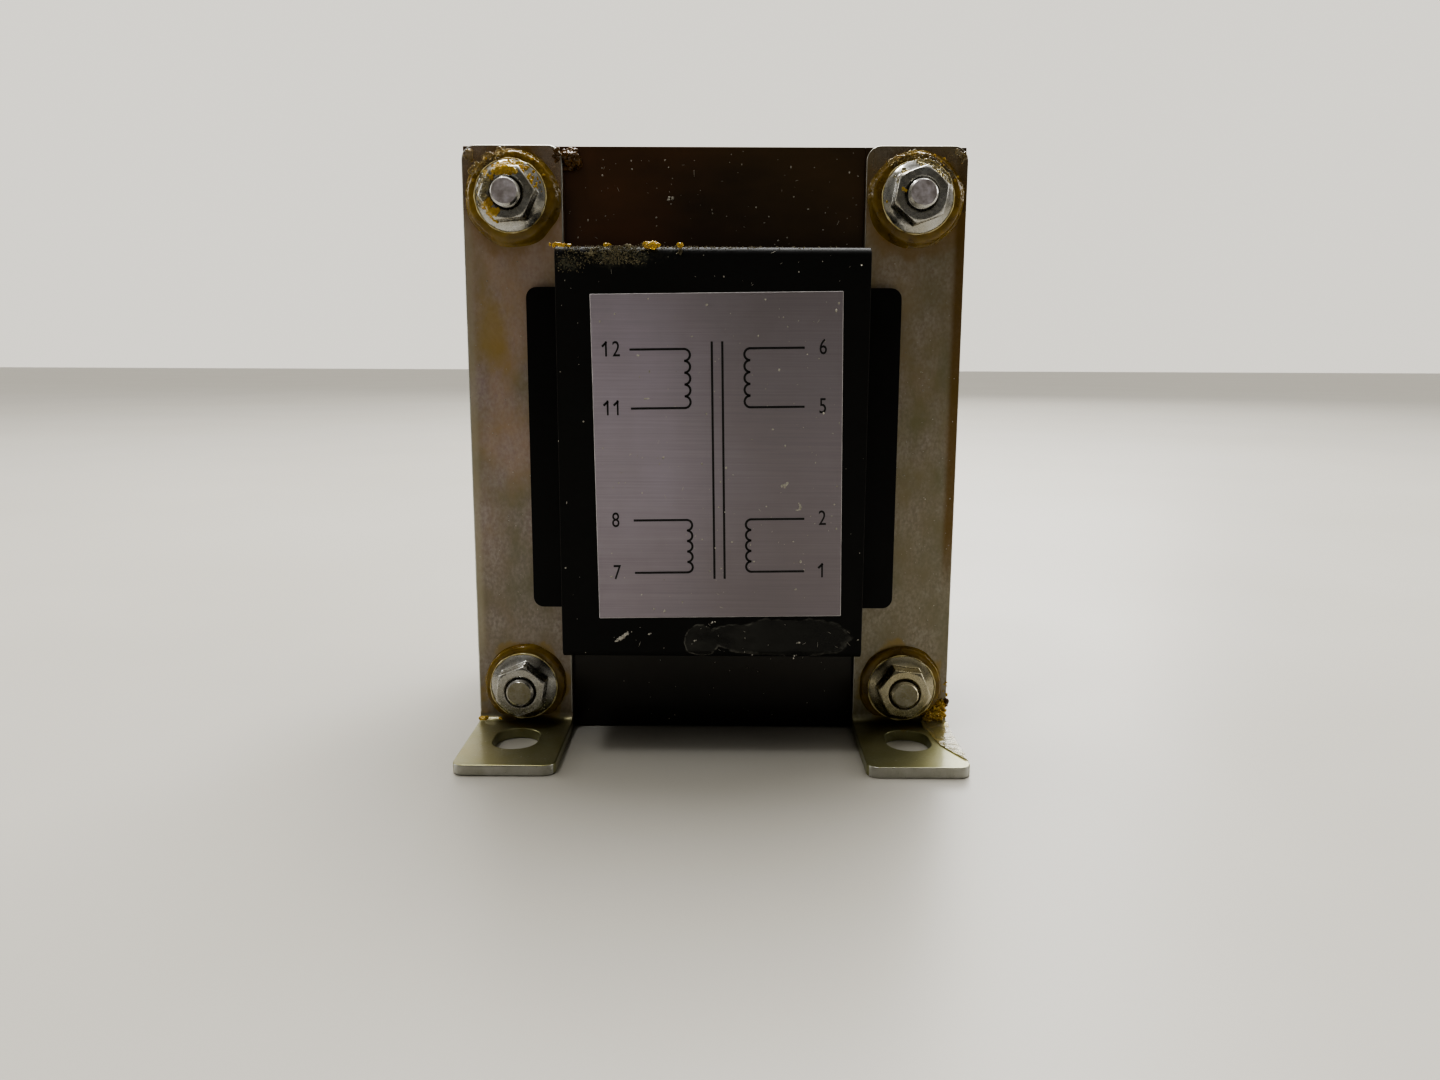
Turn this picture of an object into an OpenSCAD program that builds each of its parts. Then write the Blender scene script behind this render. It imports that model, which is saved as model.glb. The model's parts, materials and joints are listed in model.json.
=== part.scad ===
// Laminated chassis transformer: a two-section bobbin on an interleaved E and I core,
// clamped between four foot brackets by four bolts.
//
// X runs across the face, Y from the label side to the terminal side, Z up.
// The origin is on the mounting surface, under the middle of the core.
// All sizes are in millimetres.

/* [Core] */
// Width of the centre leg; the scrapless E and I outlines follow from it
tongue_w = 28.575; // [25:0.005:34]
// Number of lamination layers in the stack, one E and one I in each
layers = 53; // [30:1:80]
// Thickness of one lamination
sheet_t = 0.635; // [0.35:0.005:0.8]
// Oxide and varnish film between two layers
film_t = 0.025; // [0.015:0.005:0.05]
// Butt gap between an E and its I
joint_gap = 0.05; // [0.02:0.01:0.15]
// Height of the core's underside above the mounting surface
core_lift = 0.3; // [0.1:0.05:1]

/* [Brackets] */
// Thickness of the bracket strip
bracket_t = 1.6; // [1.2:0.1:2.4]
// Radius inside the bend between upright and foot
bend_r = 1.2; // [0.6:0.1:2]
// Distance from the core's face to the tip of a foot
foot_reach = 20.4; // [17:0.1:26]
// Rounding of the upright's top corners
bracket_corner_r = 2.1; // [1:0.1:3.5]
// Rounding of the foot's front corners
foot_corner_r = 1.8; // [0.8:0.1:3]
// Width of the foot slot
slot_w = 6.4; // [4.5:0.1:8]
// End-to-end length of the foot slot
slot_l = 8.6; // [8.2:0.1:11]
// Distance from the core's face to the middle of the foot slot
slot_reach = 9.8; // [9:0.1:11.5]

/* [Fasteners] */
// Thread diameter of the clamp bolts
bolt_d = 4; // [3.5:0.1:5]
// Height of the bolt's hexagon head
bolt_head_h = 2.8; // [2:0.1:4]
// Width across flats of the bolt heads and nuts
hex_af = 7; // [6.5:0.1:8]
// Height of a flange nut
nut_h = 4; // [3:0.1:5.5]
// Diameter of the nut's flange
nut_flange_d = 10; // [9.5:0.1:11.5]
// Thickness of the nut's flange at its rim
nut_flange_t = 0.8; // [0.5:0.1:1.2]
// Diameter of the countersink at the nut's mouth
nut_mouth_d = 4.8; // [4.4:0.1:6]
// Length of bolt that stands out of the nut
bolt_proud = 1.4; // [0.5:0.1:4]
// Diameter of the insulating fibre washers
washer_d = 12; // [11:0.1:13.5]
// Thickness of the insulating fibre washers
washer_t = 0.8; // [0.5:0.1:1.6]
// Wall of the insulating sleeve round each bolt
sleeve_wall = 0.4; // [0.2:0.05:0.8]

/* [Bobbin] */
// Wall of the tube round the centre leg
tube_wall = 1.2; // [0.8:0.1:1.8]
// Thickness of the two end flanges
flange_t = 1.2; // [0.8:0.1:1.8]
// Thickness of the wall between the two winding sections
divider_t = 1; // [0.8:0.1:2]
// Rounding of the flange corners
flange_corner_r = 0.5; // [0.2:0.1:1.5]
// Spacing of the terminal places along a rail
terminal_pitch = 7.62; // [6.5:0.01:8]
// Number of terminal places along a rail
rail_places = 6; // [4:1:6]
// Rail length beyond the terminal places, both ends together
rail_margin = 0.7; // [0:0.1:2]
// Reach of the lips and rails beyond the flange
rail_reach = 5.75; // [4.5:0.05:7]
// Thickness of the blank lips on the label side
lip_t = 2; // [1.2:0.1:4]
// Thickness of the terminal rails
rail_t = 4.5; // [4:0.1:6]
// Rounding of the lip and rail corners
rail_corner_r = 1.5; // [0.5:0.1:2.5]
// Diameter of the holes that bring the leads through the flange
lead_hole_d = 1.4; // [1:0.1:2]

/* [Coil] */
// Thickness of the wrapped coil cover
cover_t = 0.6; // [0.3:0.05:1]
// Distance from the core's face to the face of the coil cover
coil_proud = 14.6; // [13:0.1:18]
// Thickness of the tape over each winding
tape_t = 0.3; // [0.1:0.05:0.6]
// How far the tape stays below the flange's rim
coil_slack = 0.25; // [0.1:0.05:0.5]
// Rounding of the winding's outer corners
winding_corner_r = 3; // [2:0.1:6]
// Diameter of the winding leads
lead_d = 0.7; // [0.3:0.05:0.9]

/* [Label] */
// Width of the label
label_w = 33.5; // [20:0.1:36]
// Height of the label
label_h = 44; // [20:0.1:47]
// Thickness of the label's film
label_t = 0.15; // [0.1:0.05:0.4]
// How far the label sits to the right of the middle
label_offset = 0.8; // [-1:0.1:1]
// Tilt of the label, anticlockwise in degrees
label_turn = 0.86; // [-1.5:0.01:1.5]

/* [Terminals] */
// Width of a terminal tab
tab_w = 4.75; // [3.5:0.05:6]
// Thickness of a terminal tab
tab_t = 0.8; // [0.5:0.1:1.2]
// Length of a tab outside the rail
tab_l = 9; // [7:0.1:12]
// Width of the tab's root in the rail
tab_root_w = 3.2; // [2.4:0.1:3.4]
// Depth of the tab's root in the rail
tab_root_l = 3; // [2:0.1:3.5]
// Diameter of the hole in a tab
tab_hole_d = 1.4; // [1:0.1:1.8]
// Distance from the tab's tip to its hole
tab_hole_back = 3.4; // [2.5:0.1:4]
// Bevel of the tab's tip
tab_bevel = 1; // [0.4:0.1:1.4]

/* [Clearances] */
// Clearance between the centre leg and the bobbin's tube
tube_fit = 0.2; // [0.1:0.05:0.4]
// Clearance between an end flange and the end of the window
flange_fit = 0.58; // [0.2:0.02:0.8]
// Clearance between the coil cover and the outer legs
cover_fit = 0.7; // [0.3:0.05:1]
// Clearance between a lip or rail and the bracket behind it
rail_fit = 0.3; // [0.1:0.05:0.5]
// Clearance between a winding and the bobbin, and under its tape
winding_fit = 0.1; // [0.05:0.05:0.2]
// Clearance between the bobbin's flanges and the coil cover
wrap_fit = 0.05; // [0.02:0.01:0.1]
// Radial clearance between a bolt and what it passes through or screws into
bolt_fit = 0.06; // [0.03:0.01:0.1]
// Clearance round a tab's root in its slot
tab_fit = 0.05; // [0.02:0.01:0.1]
// Clearance between a bolt's sleeve and its hole, and short of the washers
sleeve_fit = 0.14; // [0.05:0.01:0.3]
// Clearance between a lower washer's flat side and the bend of the foot
washer_fit = 0.1; // [0.05:0.05:0.3]

/* [Hidden] */
$fn = 64;
// Overrun of the cutting shapes
over = 1;

// Core, the usual proportions of a scrapless E and I pair
leg_w = tongue_w / 2;
window_l = 1.5 * tongue_w;
core_w = window_l + 2 * leg_w;
core_h = 2 * tongue_w + 2 * leg_w;
layer_pitch = sheet_t + film_t;
stack_d = layers * layer_pitch - film_t;
core_z = core_lift + core_h / 2;
column_x = (core_w - leg_w) / 2;
bolt_z = (core_h - leg_w) / 2;

// Brackets
bracket_h = core_lift + core_h;
bend_outer_r = bend_r + bracket_t;

// Bobbin, measured from the middle of the core
flange_x = window_l / 2 - flange_fit;
tube_y = stack_d / 2 + tube_fit + tube_wall;
tube_z = tongue_w / 2 + tube_fit + tube_wall;
cover_y = stack_d / 2 + coil_proud;
cover_z = tongue_w - cover_fit;
flange_y = cover_y - cover_t - wrap_fit;
flange_z = cover_z - cover_t - wrap_fit;
lip_y = stack_d / 2 + bracket_t + rail_fit;
rail_h = rail_places * terminal_pitch + rail_margin;
rail_face_y = lip_y + rail_t;
rail_mid_x = flange_x + rail_reach / 2;

// Windings
section_w = flange_x - flange_t - divider_t / 2 - 2 * winding_fit;
section_x = divider_t / 2 + winding_fit;
tape_y = flange_y - coil_slack;
tape_z = flange_z - coil_slack;
winding_y = tape_y - tape_t - winding_fit;
winding_z = tape_z - tape_t - winding_fit;
lead_y = rail_face_y + lead_hole_d;

// Terminals: the two end places at each end of a rail carry a tab
outer_place = (rail_places - 1) / 2 * terminal_pitch;
inner_place = outer_place - terminal_pitch;
terminal_zs = [-outer_place, -inner_place, inner_place, outer_place];

// Clamp bolts
washer_face_y = stack_d / 2 + bracket_t + washer_t;
bolt_bore_d = bolt_d + 2 * bolt_fit;
sleeve_d = bolt_bore_d + 2 * sleeve_wall;
sleeve_l = stack_d + 2 * bracket_t - 2 * sleeve_fit;
bolt_hole_d = sleeve_d + 2 * sleeve_fit;
bolt_chamfer = bolt_d / 8;
// Where each bolt sits, as signs of X and Z, and how far its head and nut are turned
bolt_places = [[-1, -1, 22], [-1, 1, 5], [1, -1, 53], [1, 1, 20]];
// The lower washers have a flat side that clears the bend of the foot
washer_flat = core_z - bolt_z - bend_outer_r - washer_fit;
nut_mouth_h = (nut_mouth_d - bolt_bore_d) / 2;
// Round crown that a 30 degree chamfer leaves on the hexagons
crown_d = 0.96 * hex_af;
crown_spread = 2 / tan(30);
// Sloping skirt between the nut's flange and its flats
skirt_h = (nut_flange_d - hex_af) / 4;

// ---- Placing helpers ----

// Stands a flat outline, drawn in X and Z, up as a plate from y to y + t
module plate(y, t) {
    translate([0, y + t, 0]) rotate([90, 0, 0]) linear_extrude(t) children();
}

// Runs a section, drawn in Y and Z, along X from x to x + l
module run(x, l) {
    translate([x, 0, 0]) rotate([90, 0, 90]) linear_extrude(l) children();
}

// Moves a shape that is built round the core's middle up to its height
module at_core() {
    translate([0, 0, core_z]) children();
}

// Repeats a shape that is built along Z at the listed bolts, pointing along -Y from y,
// with its own Y axis upwards
module at_bolts(places, y) {
    at_core()
        for (place = places)
            translate([place[0] * column_x, -y, place[1] * bolt_z]) rotate([90, 0, 0]) children();
}

// The same, with each shape turned as its bolt was left
module at_turned_bolts(y) {
    for (place = bolt_places)
        at_bolts([place], y) rotate(place[2]) children();
}

// ---- Outlines ----

// Rectangle with round corners, centred
module round_rect(w, h, r) {
    square([w - 2 * r, h], center = true);
    square([w, h - 2 * r], center = true);
    for (x = [-1, 1], y = [-1, 1])
        translate([x * (w / 2 - r), y * (h / 2 - r)]) circle(r);
}

// What a corner rounded to r loses, with the corner's centre of curvature at the origin
module corner_waste(r) {
    difference() {
        square(r + over);
        circle(r);
    }
}

// Ring between two round rectangles, for everything that is wound round the tube
module wound_section(outer_y, outer_z, outer_r, inner_y, inner_z, inner_r) {
    difference() {
        round_rect(2 * outer_y, 2 * outer_z, outer_r);
        round_rect(2 * inner_y, 2 * inner_z, inner_r);
    }
}

// Hexagon by its width across flats
module hexagon(af) {
    circle(d = af / cos(30), $fn = 6);
}

// ---- Core ----

// E outline: the back bar at the left, three legs towards the right
module e_outline() {
    difference() {
        translate([-core_w / 2, -core_h / 2]) square([core_w - leg_w - joint_gap, core_h]);
        for (z = [-tongue_w, tongue_w / 2])
            translate([-core_w / 2 + leg_w, z]) square([window_l + over, leg_w]);
        for (z = [-bolt_z, bolt_z])
            translate([-column_x, z]) circle(d = bolt_hole_d);
    }
}

// I outline: the bar that closes the E's legs at the right
module i_outline() {
    difference() {
        translate([core_w / 2 - leg_w, -core_h / 2]) square([leg_w, core_h]);
        for (z = [-bolt_z, bolt_z])
            translate([column_x, z]) circle(d = bolt_hole_d);
    }
}

// Lays one outline into every layer, turned end for end in each second one
module interleave() {
    at_core()
        for (i = [0 : layers - 1])
            plate(-stack_d / 2 + i * layer_pitch, sheet_t)
                mirror([i % 2, 0]) children();
}

module e_laminations() {
    color("#4a3f33") interleave() e_outline();
}

module i_laminations() {
    color("#51463a") interleave() i_outline();
}

// ---- Bobbin ----

// Round holes in one flange, for the leads of its rail
module lead_holes() {
    for (z = terminal_zs)
        translate([flange_x - flange_t - over, lead_y, z])
            rotate([0, 90, 0]) cylinder(d = lead_hole_d, h = flange_t + 2 * over);
}

// Slots for the terminal roots, in every place along a rail
module root_slots() {
    for (i = [0 : rail_places - 1])
        translate([rail_mid_x, rail_face_y, -outer_place + i * terminal_pitch])
            translate([-tab_t / 2 - tab_fit, -tab_root_l - tab_fit, -tab_root_w / 2 - tab_fit])
                cube([tab_t + 2 * tab_fit, tab_root_l + tab_fit + over, tab_root_w + 2 * tab_fit]);
}

// Flat outline of a lip or rail beside the right flange, rounded on its free side
module rail_outline() {
    intersection() {
        round_rect(2 * (flange_x + rail_reach), rail_h, rail_corner_r);
        translate([flange_x - flange_t, -rail_h / 2]) square([rail_reach + flange_t, rail_h]);
    }
}

module bobbin() {
    color("#1c1c1e") at_core() difference() {
        union() {
            run(-flange_x, 2 * flange_x) round_rect(2 * tube_y, 2 * tube_z, flange_corner_r);
            for (x = [-flange_x, flange_x - flange_t])
                run(x, flange_t) round_rect(2 * flange_y, 2 * flange_z, flange_corner_r);
            run(-divider_t / 2, divider_t) round_rect(2 * flange_y, 2 * flange_z, flange_corner_r);
            for (side = [0, 1]) mirror([side, 0, 0]) {
                plate(-lip_y - lip_t, lip_t) rail_outline();
                plate(lip_y, rail_t) rail_outline();
            }
        }
        run(-flange_x - over, 2 * (flange_x + over))
            square([stack_d + 2 * tube_fit, tongue_w + 2 * tube_fit], center = true);
        for (side = [0, 1]) mirror([side, 0, 0]) {
            lead_holes();
            root_slots();
        }
    }
}

// ---- Windings ----

// One winding in the right-hand section
module winding() {
    at_core() run(section_x, section_w)
        wound_section(winding_y, winding_z, winding_corner_r,
                      tube_y + winding_fit, tube_z + winding_fit, flange_corner_r + winding_fit);
}

// The tape over the winding in the right-hand section
module winding_tape() {
    under_r = winding_corner_r + winding_fit;
    at_core() run(section_x, section_w)
        wound_section(tape_y, tape_z, under_r + tape_t,
                      winding_y + winding_fit, winding_z + winding_fit, under_r);
}

module primary_winding() {
    color("#b06a35") winding();
}

module secondary_winding() {
    color("#a8622f") mirror([1, 0, 0]) winding();
}

module primary_tape() {
    color("#d8b64a") winding_tape();
}

module secondary_tape() {
    color("#d8b64a") mirror([1, 0, 0]) winding_tape();
}

// Leads from each winding's side, through the flange, to the face of its terminal
module lead_wires() {
    lead_from = section_x + section_w;
    lead_to = rail_mid_x - tab_t / 2;
    color("#b9713a") at_core()
        for (side = [0, 1], z = terminal_zs)
            mirror([side, 0, 0]) translate([lead_from, lead_y, z])
                rotate([0, 90, 0]) cylinder(d = lead_d, h = lead_to - lead_from);
}

// ---- Cover and label ----

module coil_cover() {
    inner_r = flange_corner_r + wrap_fit;
    color("#202022") at_core() run(-flange_x, 2 * flange_x)
        wound_section(cover_y, cover_z, inner_r + cover_t,
                      flange_y + wrap_fit, flange_z + wrap_fit, inner_r);
}

module label() {
    color("#c4c2c6") translate([label_offset, 0, core_z])
        plate(-cover_y - label_t, label_t)
            rotate(label_turn) square([label_w, label_h], center = true);
}

// ---- Brackets ----

// Section of the bent strip: the upright on the core's face, the foot pointing outwards
module strip_section() {
    translate([0, bend_outer_r]) square([bracket_t, bracket_h - bend_outer_r]);
    translate([bend_outer_r, 0]) square([foot_reach - bend_outer_r, bracket_t]);
    intersection() {
        translate([bend_outer_r, bend_outer_r]) difference() {
            circle(bend_outer_r);
            circle(bend_r);
        }
        square(bend_outer_r);
    }
}

// Slot along the foot's length
module slot_outline() {
    end = (slot_l - slot_w) / 2;
    square([slot_w, 2 * end], center = true);
    for (y = [-end, end]) translate([0, y]) circle(d = slot_w);
}

// The back right bracket; the other three are its mirror images
module bracket() {
    difference() {
        translate([0, stack_d / 2, 0]) run(column_x - leg_w / 2, leg_w) strip_section();
        for (side = [-1, 1]) translate([column_x, 0, 0]) {
            plate(stack_d / 2 - over, bracket_t + 2 * over)
                translate([side * (leg_w / 2 - bracket_corner_r), bracket_h - bracket_corner_r])
                    mirror([(1 - side) / 2, 0]) corner_waste(bracket_corner_r);
            translate([side * (leg_w / 2 - foot_corner_r), stack_d / 2 + foot_reach - foot_corner_r, -over])
                mirror([(1 - side) / 2, 0, 0])
                    linear_extrude(bracket_t + 2 * over) corner_waste(foot_corner_r);
        }
        at_bolts([for (place = bolt_places) if (place[0] > 0) place], -stack_d / 2 - bracket_t - over)
            cylinder(d = bolt_hole_d, h = bracket_t + 2 * over);
        translate([column_x, stack_d / 2 + slot_reach, -over])
            linear_extrude(bracket_t + 2 * over) slot_outline();
    }
}

module bracket_back_right() {
    color("#b4ad9b") bracket();
}

module bracket_back_left() {
    color("#b4ad9b") mirror([1, 0, 0]) bracket();
}

module bracket_front_right() {
    color("#b4ad9b") mirror([0, 1, 0]) bracket();
}

module bracket_front_left() {
    color("#b4ad9b") mirror([1, 0, 0]) mirror([0, 1, 0]) bracket();
}

// ---- Terminals ----

// Tab outline in Y and Z: root, shoulders and bevelled tip
module tab_outline() {
    tip = tab_w / 2 - tab_bevel;
    polygon([
        [-tab_root_l, -tab_root_w / 2], [0, -tab_root_w / 2], [0, -tab_w / 2],
        [tab_l - tab_bevel, -tab_w / 2], [tab_l, -tip], [tab_l, tip],
        [tab_l - tab_bevel, tab_w / 2], [0, tab_w / 2], [0, tab_root_w / 2],
        [-tab_root_l, tab_root_w / 2]
    ]);
}

// One terminal tab, on the right (side = 1) or left (side = -1) rail, in place z
module terminal(side, z) {
    color("#cfc9ba") at_core() translate([side * rail_mid_x, rail_face_y, z])
        run(-tab_t / 2, tab_t) difference() {
            tab_outline();
            translate([tab_l - tab_hole_back, 0]) circle(d = tab_hole_d);
        }
}

// ---- Fasteners ----

// A bolt along Z: the head's seat at 0, the shank up to l
module hex_bolt(l) {
    cylinder(d = bolt_d, h = l - bolt_chamfer);
    translate([0, 0, l - bolt_chamfer])
        cylinder(d1 = bolt_d, d2 = bolt_d - 2 * bolt_chamfer, h = bolt_chamfer);
    translate([0, 0, -bolt_head_h]) intersection() {
        linear_extrude(bolt_head_h) hexagon(hex_af);
        cylinder(d1 = crown_d, d2 = crown_d + crown_spread * bolt_head_h, h = bolt_head_h);
    }
}

// A nut along Z, seated on its flange
module flange_nut() {
    difference() {
        union() {
            cylinder(d = nut_flange_d, h = nut_flange_t);
            translate([0, 0, nut_flange_t]) cylinder(d1 = nut_flange_d, d2 = hex_af, h = skirt_h);
            intersection() {
                linear_extrude(nut_h) hexagon(hex_af);
                cylinder(d1 = crown_d + crown_spread * nut_h, d2 = crown_d, h = nut_h);
            }
        }
        translate([0, 0, -over]) cylinder(d = bolt_bore_d, h = nut_h + 2 * over);
        translate([0, 0, nut_h - nut_mouth_h])
            cylinder(d1 = bolt_bore_d, d2 = nut_mouth_d + 2 * over, h = nut_mouth_h + over);
    }
}

// A fibre washer along Z, with a flat side below at the given distance from its middle
module fibre_washer(flat) {
    difference() {
        cylinder(d = washer_d, h = washer_t);
        translate([0, 0, -over]) cylinder(d = bolt_bore_d, h = washer_t + 2 * over);
        translate([-washer_d / 2, -flat - washer_d, -over])
            cube([washer_d, washer_d, washer_t + 2 * over]);
    }
}

// Washers on the front brackets: round ones above, flat-sided ones beside the feet
module washer_set() {
    for (place = bolt_places)
        at_bolts([place], washer_face_y - washer_t)
            fibre_washer(place[1] > 0 ? washer_d : washer_flat);
}

module clamp_bolts() {
    color("#c9cbcc") at_turned_bolts(-washer_face_y)
        hex_bolt(2 * washer_face_y + nut_h + bolt_proud);
}

module flange_nuts() {
    color("#c9cbcc") at_turned_bolts(washer_face_y) flange_nut();
}

module front_washers() {
    color("#c98a2e") washer_set();
}

module back_washers() {
    color("#c98a2e") mirror([0, 1, 0]) washer_set();
}

module bolt_sleeves() {
    color("#e4dcc4") at_bolts(bolt_places, -sleeve_l / 2) difference() {
        cylinder(d = sleeve_d, h = sleeve_l);
        translate([0, 0, -over]) cylinder(d = bolt_bore_d, h = sleeve_l + 2 * over);
    }
}

// ---- Nodes ----

e_laminations();
i_laminations();
bobbin();
primary_winding();
secondary_winding();
primary_tape();
secondary_tape();
coil_cover();
label();
bracket_front_left();
bracket_front_right();
bracket_back_left();
bracket_back_right();
terminal(1, -outer_place);  // terminal_1
terminal(1, -inner_place);  // terminal_2
terminal(1, inner_place);  // terminal_5
terminal(1, outer_place);  // terminal_6
terminal(-1, -outer_place);  // terminal_7
terminal(-1, -inner_place);  // terminal_8
terminal(-1, inner_place);  // terminal_11
terminal(-1, outer_place);  // terminal_12
clamp_bolts();
flange_nuts();
front_washers();
back_washers();
bolt_sleeves();
lead_wires();
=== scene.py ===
"""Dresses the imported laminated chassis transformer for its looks.

Each sub-assembly of the transformer is a class: it takes the CAD nodes that it covers, finishes
their shapes with bmesh operators, adds the small pieces that the solids leave out, and gives each
piece its finish. Sizes are in millimetres in the classes and in metres in the meshes, in the frame
of the CAD: X across the face, Y from the label side to the terminal side, Z up from the
mounting surface.
"""

from __future__ import annotations

import json
import logging
import math
import random
from dataclasses import dataclass, field
from enum import Enum
from functools import lru_cache
from typing import Any, Callable, Iterable, Sequence

import bmesh
import bpy
from mathutils import Matrix, Vector, noise

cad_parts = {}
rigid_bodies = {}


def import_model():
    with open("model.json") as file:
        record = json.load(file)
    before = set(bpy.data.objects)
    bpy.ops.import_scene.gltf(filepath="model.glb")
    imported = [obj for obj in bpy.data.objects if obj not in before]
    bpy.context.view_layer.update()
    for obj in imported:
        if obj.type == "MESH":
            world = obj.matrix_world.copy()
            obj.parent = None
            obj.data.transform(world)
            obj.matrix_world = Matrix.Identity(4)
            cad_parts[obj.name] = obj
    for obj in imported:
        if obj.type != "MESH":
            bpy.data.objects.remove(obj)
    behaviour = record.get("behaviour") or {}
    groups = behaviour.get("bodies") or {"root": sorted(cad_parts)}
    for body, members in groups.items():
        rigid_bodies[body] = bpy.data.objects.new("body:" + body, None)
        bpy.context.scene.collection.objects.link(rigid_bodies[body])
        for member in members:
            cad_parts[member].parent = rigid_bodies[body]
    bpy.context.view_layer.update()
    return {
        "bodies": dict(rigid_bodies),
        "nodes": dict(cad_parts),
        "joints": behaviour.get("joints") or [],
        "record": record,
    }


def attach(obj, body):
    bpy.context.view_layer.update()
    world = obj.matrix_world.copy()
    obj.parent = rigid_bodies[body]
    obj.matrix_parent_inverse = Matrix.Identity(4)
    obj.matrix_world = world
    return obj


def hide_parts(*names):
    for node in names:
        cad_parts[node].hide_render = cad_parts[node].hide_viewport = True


log = logging.getLogger("transformer")

MM = 0.001
BODY = "root"

Colour = tuple[float, float, float, float]
Point = tuple[float, float, float]
Span = tuple[float, float]
Oval = tuple[float, float, float, float]
Lump = tuple[Point, Point]


# ---- Sizes that the sub-assemblies share, as in the part's source ----


@dataclass(frozen=True)
class Core:
    """Main sizes of the core and of what is clamped to it, in millimetres."""

    half_depth: float = 17.4775
    middle_z: float = 43.1625
    top_z: float = 86.025
    sheet_pitch: float = 0.66
    column_x: float = 28.575
    bolt_z: float = 35.71875
    strip: float = 1.6
    washer_face: float = 19.8775
    cover_face: float = 32.0775
    cover_half_height: float = 27.875

    @property
    def strip_face(self) -> float:
        """Distance of the brackets' outer faces from the middle of the core."""
        return self.half_depth + self.strip

    @property
    def cover_top(self) -> float:
        """Height of the wrap's top edge."""
        return self.middle_z + self.cover_half_height

    def bolt_at(self, side: int, level: int) -> Span:
        """X and Z of the clamp bolt on a side (-1 left) and level (-1 low)."""
        return side * self.column_x, self.middle_z + level * self.bolt_z


CORE = Core()
BOLTS = tuple((side, level) for side in (-1, 1) for level in (-1, 1))


class Face(Enum):
    """The two faces of the core, by the direction in Y that they look."""

    LABEL_SIDE = -1
    TERMINAL_SIDE = 1


# ---- Colour and node helpers ----


def linear(hex_colour: str) -> Colour:
    """Turns an sRGB hex colour linear.

    Args:
        hex_colour: Colour as "#rrggbb".

    Returns:
        Linear red, green and blue, with an alpha of 1.
    """
    channels = [int(hex_colour[i : i + 2], 16) / 255 for i in (1, 3, 5)]
    red, green, blue = (
        value / 12.92 if value <= 0.04045 else ((value + 0.055) / 1.055) ** 2.4
        for value in channels
    )
    return red, green, blue, 1.0


def add_node(
    tree: bpy.types.NodeTree,
    kind: str,
    settings: dict[str, Any] | None = None,
    inputs: dict[str | int, Any] | None = None,
) -> bpy.types.Node:
    """Adds a node with its settings and links.

    Args:
        tree: Node tree that takes the node.
        kind: Blender's name of the node type.
        settings: Properties of the node by name.
        inputs: For each input, the value to set or the socket to link from.

    Returns:
        The new node.
    """
    node = tree.nodes.new(kind)
    for name, value in (settings or {}).items():
        setattr(node, name, value)
    for key, value in (inputs or {}).items():
        if isinstance(value, bpy.types.NodeSocket):
            tree.links.new(value, node.inputs[key])
        else:
            node.inputs[key].default_value = value
    return node


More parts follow.
